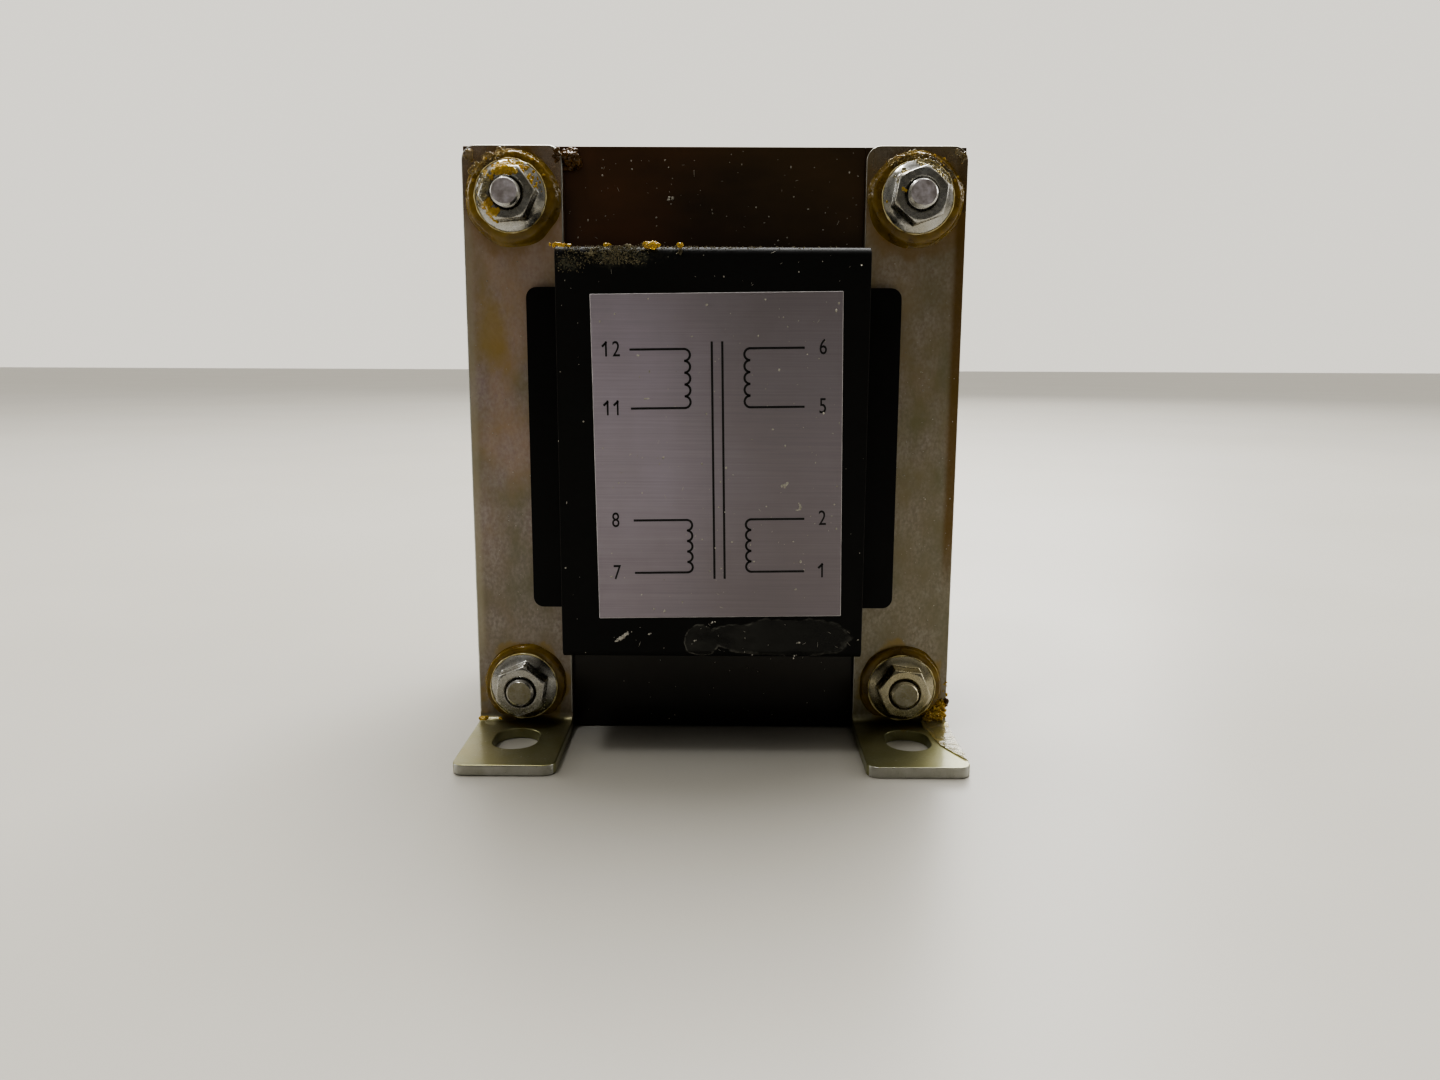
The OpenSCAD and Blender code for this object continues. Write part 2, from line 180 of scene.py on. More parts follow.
class Surface:
    """One material while it is built: its tree, its shader and its coordinates in millimetres."""

    def __init__(self, name: str) -> None:
        """Starts a material with a Principled shader and nothing on it.

        Args:
            name: Name of the material.
        """
        self.material = bpy.data.materials.new(name)
        self.material.use_nodes = True
        self.tree = self.material.node_tree
        self.tree.nodes.clear()
        self.shader = self.add("ShaderNodeBsdfPrincipled")
        self.add("ShaderNodeOutputMaterial", inputs={"Surface": self.shader.outputs["BSDF"]})
        place = self.add("ShaderNodeTexCoord")
        mapping = self.add(
            "ShaderNodeMapping", inputs={"Vector": place.outputs["Object"], "Scale": (1 / MM,) * 3}
        )
        self.mm = mapping.outputs["Vector"]

    def add(
        self,
        kind: str,
        settings: dict[str, Any] | None = None,
        inputs: dict[str | int, Any] | None = None,
    ) -> bpy.types.Node:
        """Adds a node to this material's tree, as add_node does."""
        return add_node(self.tree, kind, settings, inputs)

    def set(self, **values: Any) -> None:
        """Sets or links the shader's sockets, named with underscores for spaces.

        Args:
            values: For each of them, the value to set or the socket to link from.
        """
        for name, value in values.items():
            socket = self.shader.inputs[name.replace("_", " ")]
            if isinstance(value, bpy.types.NodeSocket):
                self.tree.links.new(value, socket)
            else:
                socket.default_value = value

    def mottle(
        self, size: float, stretch: Point = (1, 1, 1), detail: float = 3, contrast: float = 1.0
    ) -> Any:
        """Soft random patches of a real size.

        Args:
            size: Width of a patch in millimetres.
            stretch: How much longer the patches are along X, Y and Z.
            detail: Octaves of finer noise.
            contrast: How hard the patches' edges are.

        Returns:
            A socket from 0 to 1.
        """
        scaled = self.add(
            "ShaderNodeMapping",
            inputs={"Vector": self.mm, "Scale": tuple(1 / (size * s) for s in stretch)},
        )
        patches = self.add(
            "ShaderNodeTexNoise",
            inputs={
                "Vector": scaled.outputs["Vector"],
                "Scale": 1.0,
                "Detail": detail,
                "Roughness": 0.55,
            },
        )
        half = 0.25 / contrast
        return self.ramp(patches.outputs["Fac"], (0.5 - half, 0), (0.5 + half, 1))

    def band(self, axis: str, low: float, high: float, soft: float) -> Any:
        """A soft-edged band between two places along an axis.

        Args:
            axis: "X", "Y" or "Z".
            low: Where the band starts, in millimetres.
            high: Where it ends.
            soft: Width of each soft edge.

        Returns:
            A socket that is 1 inside the band and 0 outside.
        """
        place = self.add("ShaderNodeSeparateXYZ", inputs={"Vector": self.mm})
        edges = [
            self.add(
                "ShaderNodeMapRange",
                {"interpolation_type": "SMOOTHSTEP"},
                {"Value": place.outputs[axis], "From Min": start, "From Max": end},
            )
            for start, end in ((low - soft, low + soft), (high + soft, high - soft))
        ]
        return self.product(*(edge.outputs["Result"] for edge in edges))

    def region(self, **bounds: Point) -> Any:
        """A soft-edged part of the object.

        Args:
            bounds: For each axis that bounds it, x, y or z, its low end, its high end and the
                width of its soft edges, in millimetres.

        Returns:
            A socket that is 1 inside and 0 outside.
        """
        return self.product(*(self.band(axis.upper(), *ends) for axis, ends in bounds.items()))

    def near(self, spot: Point, inner: float, outer: float, ragged: Any, push: float = 1.2) -> Any:
        """A soft round spot, the same on both faces and to the left and the right of the middle.

        Args:
            spot: Middle of the spot in millimetres.
            inner: Radius inside which the spot is whole.
            outer: Radius at which it has faded out.
            ragged: Socket from 0 to 1 that pushes the rim in and out.
            push: How far it pushes each way, in millimetres.

        Returns:
            A socket that is 1 in the spot and 0 outside.
        """
        mirrored = self.add("ShaderNodeVectorMath", {"operation": "ABSOLUTE"}, {0: self.mm})
        away = self.add(
            "ShaderNodeVectorMath",
            {"operation": "DISTANCE"},
            {0: mirrored.outputs["Vector"], 1: spot},
        )
        pushed = self.add(
            "ShaderNodeMath", {"operation": "MULTIPLY_ADD"}, {0: ragged, 1: 2 * push, 2: -push}
        )
        rim = self.add(
            "ShaderNodeMath",
            {"operation": "ADD"},
            {0: away.outputs["Value"], 1: pushed.outputs["Value"]},
        )
        fade = self.add(
            "ShaderNodeMapRange",
            {"interpolation_type": "SMOOTHSTEP"},
            {
                "Value": rim.outputs["Value"],
                "From Min": inner,
                "From Max": outer,
                "To Min": 1.0,
                "To Max": 0.0,
            },
        )
        return fade.outputs["Result"]

    def blot(self, middle: Point, radii: Point, ragged: Any, raggedness: float = 0.3) -> Any:
        """How far a point lies from the middle of a ragged oval, with 1 on its rim.

        Args:
            middle: Middle of the oval in millimetres.
            radii: Its three radii in millimetres.
            ragged: Socket from 0 to 1 that pushes the rim inwards.
            raggedness: Share of the radius that its 1 pushes by.

        Returns:
            A socket with the distance, in radii.
        """
        moved = self.add("ShaderNodeVectorMath", {"operation": "SUBTRACT"}, {0: self.mm, 1: middle})
        scaled = self.add(
            "ShaderNodeVectorMath", {"operation": "DIVIDE"}, {0: moved.outputs["Vector"], 1: radii}
        )
        length = self.add(
            "ShaderNodeVectorMath", {"operation": "LENGTH"}, {0: scaled.outputs["Vector"]}
        )
        push = self.add(
            "ShaderNodeMath",
            {"operation": "MULTIPLY_ADD"},
            {0: ragged, 1: raggedness, 2: length.outputs["Value"]},
        )
        return push.outputs["Value"]

    def least(self, *values: Any) -> Any:
        """The least of several sockets, which joins blots into one.

        Args:
            values: Sockets with the values.

        Returns:
            A socket with the least value.
        """
        result = values[0]
        for value in values[1:]:
            result = self.add(
                "ShaderNodeMath", {"operation": "MINIMUM"}, {0: result, 1: value}
            ).outputs["Value"]
        return result

    def product(self, *factors: Any) -> Any:
        """Multiplies sockets or numbers into one socket.

        Args:
            factors: Sockets or numbers.

        Returns:
            A socket from 0 to 1 with the product.
        """
        result = factors[0]
        for factor in factors[1:]:
            result = self.add(
                "ShaderNodeMath",
                {"operation": "MULTIPLY", "use_clamp": True},
                {0: result, 1: factor},
            ).outputs["Value"]
        return result

    def mix(self, factor: Any, first: Any, second: Any) -> Any:
        """Blends two colours by a factor; each of the three may be a socket."""
        node = self.add("ShaderNodeMix", {"data_type": "RGBA"}, {0: factor, 6: first, 7: second})
        return node.outputs[2]

    def two_tone(self, factor: Any, first: str, second: str) -> Any:
        """Blends two colours, given as sRGB hex, by a factor."""
        return self.mix(factor, linear(first), linear(second))

    def tint(self, colour: Any, where: Any, strength: float, hex_colour: str) -> Any:
        """Lays one colour over another where a mask is white.

        Args:
            colour: Colour so far, a socket or a linear colour.
            where: Mask from 0 to 1.
            strength: Share of the new colour where the mask is 1.
            hex_colour: New colour as sRGB hex.

        Returns:
            A socket with the blended colour.
        """
        return self.mix(self.product(where, strength), colour, linear(hex_colour))

    def ramp(self, factor: Any, *stops: tuple[float, float]) -> Any:
        """Turns a factor into another one along straight lines.

        Args:
            factor: Socket from 0 to 1.
            stops: Two pairs of the factor and the value there.

        Returns:
            A socket with the value.
        """
        (start, low), (end, high) = stops
        node = self.add(
            "ShaderNodeMapRange",
            inputs={
                "Value": factor,
                "From Min": start,
                "From Max": end,
                "To Min": low,
                "To Max": high,
            },
        )
        return node.outputs["Result"]

    def bump(self, *layers: tuple[Any, float]) -> None:
        """Raises the surface by layers of height.

        Args:
            layers: Pairs of a height socket and the height of its white, in millimetres.
        """
        normal = None
        for height, size in layers:
            inputs = {"Height": height, "Distance": size * MM, "Strength": 1.0}
            if normal is not None:
                inputs["Normal"] = normal
            normal = self.add("ShaderNodeBump", inputs=inputs).outputs["Normal"]
        self.set(Normal=normal)


# ---- Finishes ----


@dataclass(frozen=True)
class Finish:
    """What a real surface is made of; each kind of finish builds its own material."""

    name: str = "plain"
    slot: str = ""

    def build(self) -> bpy.types.Material:
        """Makes the material.

        Returns:
            The material.
        """
        surface = Surface(self.name)
        self.paint(surface)
        return surface.material

    def paint(self, surface: Surface) -> None:
        """Adds this finish to an empty surface."""


@dataclass(frozen=True)
class VarnishedSteel(Finish):
    """Silicon steel sheets, dipped in baking varnish: dark red-brown gloss over rolling lines."""

    name: str = "baked_varnish_on_silicon_steel"
    slot: str = "varnished_steel"
    light: str = "#6a5236"
    dark: str = "#2f2614"

    def paint(self, surface: Surface) -> None:
        """Varnish that pooled in long soft clouds, sheet by sheet on the stack's sides, with
        painted shade low on the label face.

        Args:
            surface: Surface with nothing on it yet.
        """
        place = surface.add("ShaderNodeSeparateXYZ", inputs={"Vector": surface.mm})
        shifted = surface.add(
            "ShaderNodeMath",
            {"operation": "ADD"},
            {0: place.outputs["Y"], 1: CORE.half_depth + CORE.sheet_pitch / 2},
        )
        counted = surface.add(
            "ShaderNodeMath",
            {"operation": "DIVIDE"},
            {0: shifted.outputs["Value"], 1: CORE.sheet_pitch},
        )
        sheet = surface.add("ShaderNodeMath", {"operation": "FLOOR"}, {0: counted.outputs["Value"]})
        tone = surface.add(
            "ShaderNodeTexWhiteNoise", {"noise_dimensions": "1D"}, {"W": sheet.outputs["Value"]}
        )
        thick = surface.ramp(tone.outputs["Value"], (0, 0.0), (1, 0.35))
        clouds = surface.mottle(14.0, (1.6, 1, 0.8), contrast=0.9)
        lines = surface.mottle(0.35, (60, 1, 1), detail=2)
        base = surface.two_tone(clouds, self.dark, self.light)
        toned = surface.mix(thick, base, linear("#0d0a06"))
        left = surface.region(x=(-40, -2, 10), z=(60, 100, 4))
        toned = surface.tint(toned, surface.product(left, clouds), 0.5, "#7c4a2c")
        # Painted shade: the core's label face goes near black low down.
        low = surface.region(z=(-5, 17, 3), y=(-30, -17, 0.3))
        toned = surface.tint(toned, low, 0.9, "#0e0d08")
        cut_edges = surface.region(y=(-17.3, 17.3, 0.08))
        toned = surface.tint(toned, cut_edges, 0.6, "#2b2823")
        surface.set(
            Base_Color=toned,
            Metallic=0.35,
            Roughness=surface.ramp(clouds, (0, 0.42), (1, 0.3)),
            Coat_Weight=0.7,
            Coat_Roughness=0.18,
        )
        surface.bump((lines, 0.005), (clouds, 0.02))


@dataclass(frozen=True)
class SatinZinc(Finish):
    """Zinc-plated steel strip under thin baked varnish: tan and olive clouds on satin metal."""

    name: str = "varnished_zinc_plate"
    slot: str = "zinc_plate"
    tan: str = "#b79e83"
    olive: str = "#8e8a6c"
    mauve: str = "#a898a0"

    def paint(self, surface: Surface) -> None:
        """Clouds of varnish over plated strip, thicker high up and yellower on the feet, with
        painted light high up, painted shade low down and a painted reflection on the left edge.

        Args:
            surface: Surface with nothing on it yet.
        """
        clouds = surface.mottle(9.0, (1, 1, 1.8), contrast=1.7)
        patches = surface.mottle(4.0, (1, 1, 1.5), detail=4, contrast=1.4)
        sand = surface.mottle(0.4, (1, 1, 1.4), detail=5, contrast=1.7)
        body = surface.two_tone(clouds, self.tan, self.olive)
        body = surface.tint(body, patches, 0.7, self.mauve)
        # Painted light: the upper part of the strip is lighter, as if lit from above.
        high = surface.region(z=(66, 120, 18))
        body = surface.tint(body, high, 0.5, "#cfb598")
        # Painted shade: lower down, the strip is darker and greyer.
        low = surface.region(z=(2, 34, 14))
        body = surface.tint(body, low, 0.6, "#7f7b6f")
        right = surface.region(x=(0, 60, 1))
        body = surface.tint(body, right, 0.5, "#87836a")
        body = surface.tint(body, surface.product(sand, patches), 0.28, "#d6d1c4")
        foot = surface.region(z=(-5, 2.2, 0.9))
        body = surface.tint(body, foot, 0.68, "#939566")
        face = CORE.strip_face
        (x, low_z), (_, high_z) = CORE.bolt_at(1, -1), CORE.bolt_at(1, 1)
        lower, upper = (surface.near((x, face, z), 5.9, 6.9, patches) for z in (low_z, high_z))
        wide = surface.near((x, face, high_z - 0.5), 6.8, 9.0, patches)
        body = surface.tint(body, wide, 0.45, "#9a7a4a")
        body = surface.tint(body, lower, 0.5, "#a58a45")
        body = surface.tint(body, upper, 0.6, "#a07a30")
        streak = surface.region(x=(34.3, 37.0, 0.5), z=(26, 84, 6), y=(-20, -18, 0.4))
        body = surface.tint(body, streak, 0.75, "#7a5c20")
        stained = surface.blot((-32.0, -face, 60.5), (3.0, 3, 5.5), patches, 0.5)
        stain = surface.ramp(stained, (1.4, 0.0), (0.7, 1.0))
        body = surface.tint(body, stain, 0.5, "#b39a4e")
        # Painted reflection: a lighter, greyer strip along the left brackets' outer edges.
        pale = surface.region(x=(-37, -34.6, 0.5), z=(12, 76, 4))
        body = surface.tint(body, pale, 0.5, "#bdb7a2")
        wet = surface.product(
            surface.region(z=(76, 90, 3)), surface.ramp(patches, (0, 0.4), (1, 1.0))
        )
        surface.set(
            Base_Color=body,
            Metallic=0.85,
            Roughness=surface.ramp(wet, (0, 0.42), (1, 0.2)),
            Coat_Weight=0.4,
            Coat_Roughness=0.16,
        )
        surface.bump((sand, 0.006), (patches, 0.02), (wet, 0.15))


@dataclass(frozen=True)
class ShearedZinc(Finish):
    """Cut edge of plated strip: bare bright steel with the shear's fine lines, also laid on rounded
    edges as a painted highlight.
    """

    name: str = "sheared_zinc_and_painted_highlight"
    slot: str = "zinc_plate"

    def paint(self, surface: Surface) -> None:
        """Bright grey metal with lines across the strip's thickness.

        Args:
            surface: Surface with nothing on it yet.
        """
        lines = surface.mottle(0.25, (1, 4, 4), detail=2)
        tone = surface.mottle(3.0)
        surface.set(
            Base_Color=surface.two_tone(tone, "#c2c2bd", "#a6a59a"),
            Metallic=1.0,
            Roughness=surface.ramp(lines, (0, 0.26), (1, 0.42)),
        )
        surface.bump((lines, 0.01))


@dataclass(frozen=True)
class BrightZinc(Finish):
    """Bright zinc plate on turned and forged fasteners, with a little varnish on it."""

    name: str = "bright_zinc_fasteners"
    slot: str = "zinc_fastener"
    clean: str = "#bcbcba"
    stained: str = "#8f866a"

    def paint(self, surface: Surface) -> None:
        """Bright metal, stained and rippled where varnish ran over it, the upper ones most.

        Args:
            surface: Surface with nothing on it yet.
        """
        stain = surface.mottle(3.0, contrast=1.2)
        grain = surface.mottle(0.6, detail=2)
        film = surface.mottle(0.9, detail=1)
        glazed = surface.product(surface.region(z=(70, 90, 1)), film)
        body = surface.tint(linear(self.clean), stain, 0.5, self.stained)
        gold = surface.region(x=(20, 40, 1), z=(0, 16, 1))
        body = surface.tint(body, gold, 0.45, "#a89a62")
        surface.set(
            Base_Color=body,
            Metallic=1.0,
            Roughness=surface.ramp(grain, (0, 0.2), (1, 0.34)),
            Coat_Weight=0.3,
            Coat_Roughness=0.12,
        )
        surface.bump((stain, 0.03), (glazed, 0.025))


@dataclass(frozen=True)
class BoltEnd(Finish):
    """Sheared end of a bolt: rough pale steel with a haze of varnish."""

    name: str = "sheared_bolt_end"
    slot: str = "zinc_fastener"

    def paint(self, surface: Surface) -> None:
        """Mottled grey with a mauve cast, torn by the shear.

        Args:
            surface: Surface with nothing on it yet.
        """
        haze = surface.mottle(1.1, detail=4, contrast=1.4)
        torn = surface.mottle(0.3, detail=3)
        body = surface.two_tone(haze, "#cfcbd2", "#98908e")
        low = surface.product(
            surface.region(z=(-5, 30, 5), y=(-40, 0, 1)), surface.ramp(torn, (0, 0.5), (1, 1.0))
        )
        surface.set(
            Base_Color=surface.tint(body, low, 0.8, "#a09b74"),
            Metallic=0.75,
            Roughness=surface.ramp(torn, (0, 0.4), (1, 0.6)),
        )
        surface.bump((haze, 0.03), (torn, 0.02))


@dataclass(frozen=True)
class MouldedNylon(Finish):
    """Glass-filled nylon, injection moulded in black: satin, with faint flow clouds."""

    name: str = "moulded_black_nylon"
    slot: str = "moulded_nylon"

    def paint(self, surface: Surface) -> None:
        """Near-black plastic with the fine spark grain of its mould.

        Args:
            surface: Surface with nothing on it yet.
        """
        spark = surface.mottle(0.22, detail=2)
        flow = surface.mottle(6.0)
        surface.set(
            Base_Color=surface.two_tone(flow, "#070707", "#100f0e"),
            Roughness=surface.ramp(flow, (0, 0.34), (1, 0.46)),
            Specular_IOR_Level=0.3,
            IOR=1.53,
        )
        surface.bump((spark, 0.008))


@dataclass(frozen=True)
class BlackWrap(Finish):
    """Wrap of black polyester film over the coil: satin, with a dried varnish smear below."""

    name: str = "black_polyester_wrap"
    slot: str = "black_wrap"
    # Middles in X and Z and half sizes of the ovals that make up each stain.
    smear: tuple[Oval, ...] = (
        (-1.5, 17.7, 2.7, 2.3),
        (3.6, 18.4, 5.0, 1.9),
        (10.6, 18.1, 9.3, 3.1),
    )
    haze: tuple[Oval, ...] = ((-12.0, 71.0, 7.0, 2.9), (-19.0, 69.0, 3.2, 1.3))

    def paint(self, surface: Surface) -> None:
        """Black film with soft dents, specks of dust and a translucent grey smear.

        Args:
            surface: Surface with nothing on it yet.
        """
        dents = surface.mottle(9.0, detail=2)
        weave = surface.mottle(0.4, (3, 1, 1), detail=2)
        ragged = surface.mottle(3.0, detail=3)
        face = -CORE.cover_face
        runs, haze = (
            surface.least(
                *(
                    surface.blot((x, face, z), (wide, 4, high), ragged, raggedness)
                    for x, z, wide, high in ovals
                )
            )
            for ovals, raggedness in ((self.smear, 0.3), (self.haze, 0.8))
        )
        smear = surface.ramp(runs, (1.12, 0.0), (1.05, 1.0))
        rim = surface.product(smear, surface.ramp(runs, (0.98, 0.0), (1.08, 1.0)))
        cloudy = surface.mottle(2.4, (2, 1, 1), detail=4, contrast=1.4)
        worn = surface.mottle(0.8, (2, 1, 1), detail=4, contrast=2.6)
        fresh = surface.ramp(surface.region(x=(-6, 5, 3)), (0, 0.45), (1, 1.0))
        body = surface.two_tone(dents, "#060605", "#0e0d0b")
        film = surface.product(smear, fresh, surface.ramp(cloudy, (0, 0.04), (1, 0.5)))
        body = surface.mix(film, body, linear("#50504a"))
        body = surface.tint(body, surface.product(rim, worn, fresh), 0.9, "#8b8a82")
        grit = surface.mottle(0.35, detail=3, contrast=2.5)
        dusty = surface.product(surface.ramp(haze, (1.3, 0.0), (0.7, 1.0)), grit)
        body = surface.tint(body, dusty, 0.7, "#6a6a58")
        surface.set(
            Base_Color=body,
            Roughness=surface.ramp(smear, (0, 0.55), (1, 0.25)),
            Specular_IOR_Level=0.3,
            IOR=1.58,
        )
        surface.bump((weave, 0.006), (dents, 0.05), (smear, 0.05), (cloudy, 0.02), (dusty, 0.08))


@dataclass(frozen=True)
class MetalFilm(Finish):
    """Label of metallised polyester: satin silver with a mauve cast, brushed across, scratched."""

    name: str = "brushed_metallised_film"
    slot: str = "metal_film"

    def paint(self, surface: Surface) -> None:
        """Fine brushing across the label, faint clouds, scratches and dust, and painted shade to
        the right and low down.

        Args:
            surface: Surface with nothing on it yet.
        """
        brushing = surface.mottle(0.16, (90, 1, 1), detail=3)
        clouds = surface.mottle(12.0, (1, 1, 1.5))
        scratch = surface.mottle(0.5, (1, 1, 30), detail=1, contrast=3)
        body = surface.two_tone(clouds, "#c4bcca", "#b6aeb6")
        body = surface.tint(body, brushing, 0.35, "#9a92a0")
        # Painted shade: the label is darker to the right and low down.
        right = surface.region(x=(-3, 40, 13))
        low = surface.region(z=(0, 34, 12))
        body = surface.tint(body, right, 0.6, "#858080")
        body = surface.tint(body, low, 0.4, "#878082")
        surface.set(
            Base_Color=body,
            Metallic=0.9,
            Roughness=surface.ramp(brushing, (0, 0.38), (1, 0.5)),
        )
        surface.bump((brushing, 0.002), (scratch, 0.001), (clouds, 0.03))


@dataclass(frozen=True)
class CutFilm(Finish):
    """Cut edge of the label's film, where its white adhesive shows."""

    name: str = "cut_film_edge"
    slot: str = "metal_film"

    def paint(self, surface: Surface) -> None:
        """White with a little grime.

        Args:
            surface: Surface with nothing on it yet.
        """
        grime = surface.mottle(1.5, contrast=1.3)
        surface.set(
            Base_Color=surface.two_tone(grime, "#f4f1f2", "#bdb8ba"),
            Roughness=0.45,
        )


@dataclass(frozen=True)
class LabelInk(Finish):
    """Black thermal-transfer ink on the film: thin, with a dull shine."""

    name: str = "black_label_ink"
    slot: str = "metal_film"

    def paint(self, surface: Surface) -> None:
        """Near-black ink, a little thin in places.

        Args:
            surface: Surface with nothing on it yet.
        """
        thin = surface.mottle(0.5, detail=2)
        surface.set(
            Base_Color=surface.two_tone(thin, "#161517", "#262427"),
            Roughness=surface.ramp(thin, (0, 0.5), (1, 0.38)),
        )


@dataclass(frozen=True)
class AmberFibre(Finish):
    """Vulcanised fibre washers soaked in varnish: glossy amber, darker where it pooled."""

    name: str = "varnish_soaked_fibre"
    slot: str = "fibre"

    def paint(self, surface: Surface) -> None:
        """Amber with darker pools and a wet coat.

        Args:
            surface: Surface with nothing on it yet.
        """
        pools = surface.mottle(2.2, contrast=1.3)
        fibres = surface.mottle(0.3, (4, 1, 1), detail=3)
        body = surface.two_tone(pools, "#a67e36", "#6b4f1d")
        surface.set(
            Base_Color=surface.tint(body, fibres, 0.3, "#b8935a"),
            Roughness=0.35,
            Coat_Weight=0.8,
            Coat_Roughness=0.08,
        )
        surface.bump((fibres, 0.008), (pools, 0.06))


@dataclass(frozen=True)
class BakedResin(Finish):
    """Drops and crusts of baked varnish: amber glass, yellow where it is thin."""

    name: str = "baked_amber_varnish"
    slot: str = "fibre"
    thin: str = "#cdae4c"
    thick: str = "#84682a"
    cloud_size: float = 2.6
    clear: float = 0.55

    def paint(self, surface: Surface) -> None:
        """Glossy amber with cloudy yellow parts, rippled most high up.

        Args:
            surface: Surface with nothing on it yet.
        """
        cloud = surface.mottle(self.cloud_size, detail=2, contrast=0.9)
        ripple = surface.product(surface.mottle(0.7, detail=1), surface.region(z=(79, 90, 2)))
        surface.set(
            Base_Color=surface.two_tone(cloud, self.thick, self.thin),
            Roughness=surface.ramp(cloud, (0, 0.1), (1, 0.2)),
            IOR=1.52,
            Transmission_Weight=self.clear,
        )
        surface.bump((cloud, 0.1), (ripple, 0.1))


@dataclass(frozen=True)
class DustCrumb(Finish):
    """Crumbs of varnish rolled in shop dust: dull olive grey."""

    name: str = "dusty_varnish_crumb"
    slot: str = "fibre"
    dark: str = "#514a36"
    light: str = "#8f876d"

    def paint(self, surface: Surface) -> None:
        """Grey to olive, dull and grainy.

        Args:
            surface: Surface with nothing on it yet.
        """
        tone = surface.mottle(0.7, detail=4, contrast=1.4)
        surface.set(
            Base_Color=surface.two_tone(tone, self.dark, self.light),
            Roughness=0.75,
        )
        surface.bump((tone, 0.08))


@dataclass(frozen=True)
class TinnedBrass(Finish):
    """Brass tabs with a tin plate: soft grey shine with the strip's rolling lines."""

    name: str = "tinned_brass_tabs"
    slot: str = "tinned_brass"

    def paint(self, surface: Surface) -> None:
        """Grey metal, faintly warm, with lines along the tab.

        Args:
            surface: Surface with nothing on it yet.
        """
        lines = surface.mottle(0.2, (1, 30, 1), detail=2)
        haze = surface.mottle(2.5)
        surface.set(
            Base_Color=surface.two_tone(haze, "#cfccc2", "#b8b1a0"),
            Metallic=1.0,
            Roughness=surface.ramp(lines, (0, 0.24), (1, 0.4)),
        )
        surface.bump((lines, 0.004))


@dataclass(frozen=True)
class EnamelledWire(Finish):
    """Copper wire under clear enamel, laid turn beside turn."""

    name: str = "enamelled_copper_wire"
    slot: str = "enamelled_copper"
    wire: float = 0.5

    def paint(self, surface: Surface) -> None:
        """Turns of wire as fine ribs across the coil.

        Args:
            surface: Surface with nothing on it yet.
        """
        scaled = surface.add(
            "ShaderNodeMapping", inputs={"Vector": surface.mm, "Scale": (math.pi / self.wire,) * 3}
        )
        turns = surface.add(
            "ShaderNodeTexWave",
            {"wave_type": "BANDS", "bands_direction": "X"},
            {
                "Vector": scaled.outputs["Vector"],
                "Scale": 0.1 * math.pi,
                "Distortion": 0.3,
                "Detail": 1.0,
            },
        )
        tone = surface.mottle(3.0)
        surface.set(
            Base_Color=surface.two_tone(tone, "#b4682f", "#8d4a20"),
            Metallic=0.9,
            Roughness=0.28,
            Coat_Weight=0.6,
            Coat_Roughness=0.1,
        )
        surface.bump((turns.outputs["Fac"], 0.1))


@dataclass(frozen=True)
class PolyesterTape(Finish):
    """Yellow polyester tape over the windings: glossy film with soft overlaps."""

    name: str = "yellow_polyester_tape"
    slot: str = "yellow_tape"

    def paint(self, surface: Surface) -> None:
        """Yellow film with faint wrinkles.

        Args:
            surface: Surface with nothing on it yet.
        """
        wrinkle = surface.mottle(3.0, (4, 1, 1), detail=2)
        surface.set(
            Base_Color=surface.two_tone(wrinkle, "#d8b13c", "#c79c2c"),
            Roughness=0.25,
            IOR=1.58,
        )
        surface.bump((wrinkle, 0.05))


@dataclass(frozen=True)
class SleevePaper(Finish):
    """Fish paper rolled into sleeves round the bolts: cream, matt and fibrous."""

    name: str = "rolled_fish_paper"
    slot: str = "sleeve_paper"

    def paint(self, surface: Surface) -> None:
        """Cream paper with fine fibres.

        Args:
            surface: Surface with nothing on it yet.
        """
        fibres = surface.mottle(0.4, (1, 6, 1), detail=4)
        surface.set(
            Base_Color=surface.two_tone(fibres, "#d8ccb0", "#c2b38e"),
            Roughness=0.8,
        )
        surface.bump((fibres, 0.02))


@dataclass(frozen=True)
class StudioFloor(Finish):
    """Painted board of the studio floor: pale, with a soft shine."""

    name: str = "pale_studio_board"

    def paint(self, surface: Surface) -> None:
        """Pale grey with barely visible clouds.

        Args:
            surface: Surface with nothing on it yet.
        """
        clouds = surface.mottle(120.0)
        surface.set(
            Base_Color=surface.two_tone(clouds, "#b4b1aa", "#aeaba3"),
            Roughness=0.38,
        )


class Paints:
    """Builds each finish once and gives it to every piece that wears it."""

    def __init__(self) -> None:
        """Starts with no material built."""
        self.built: dict[Finish, bpy.types.Material] = {}

    def get(self, finish: Finish) -> bpy.types.Material:
        """The material of a finish, built at its first use.

        Args:
            finish: Finish that a piece wears.

        Returns:
            Its material.
        """
        if finish not in self.built:
            self.built[finish] = finish.build()
        return self.built[finish]


# ---- Piece helpers ----


@lru_cache(maxsize=None)
def round_shape(detail: int) -> tuple[tuple[Point, ...], tuple[tuple[int, ...], ...]]:
    """Corners and faces of a unit icosphere.

    Args:
        detail: Its subdivisions.

    Returns:
        The corners, and for each face the numbers of its corners.
    """
    mesh = bmesh.new()
    bmesh.ops.create_icosphere(mesh, subdivisions=detail, radius=1)
    mesh.verts.index_update()
    corners = tuple(tuple(vert.co) for vert in mesh.verts)
    faces = tuple(tuple(vert.index for vert in face.verts) for face in mesh.faces)
    mesh.free()
    return corners, faces


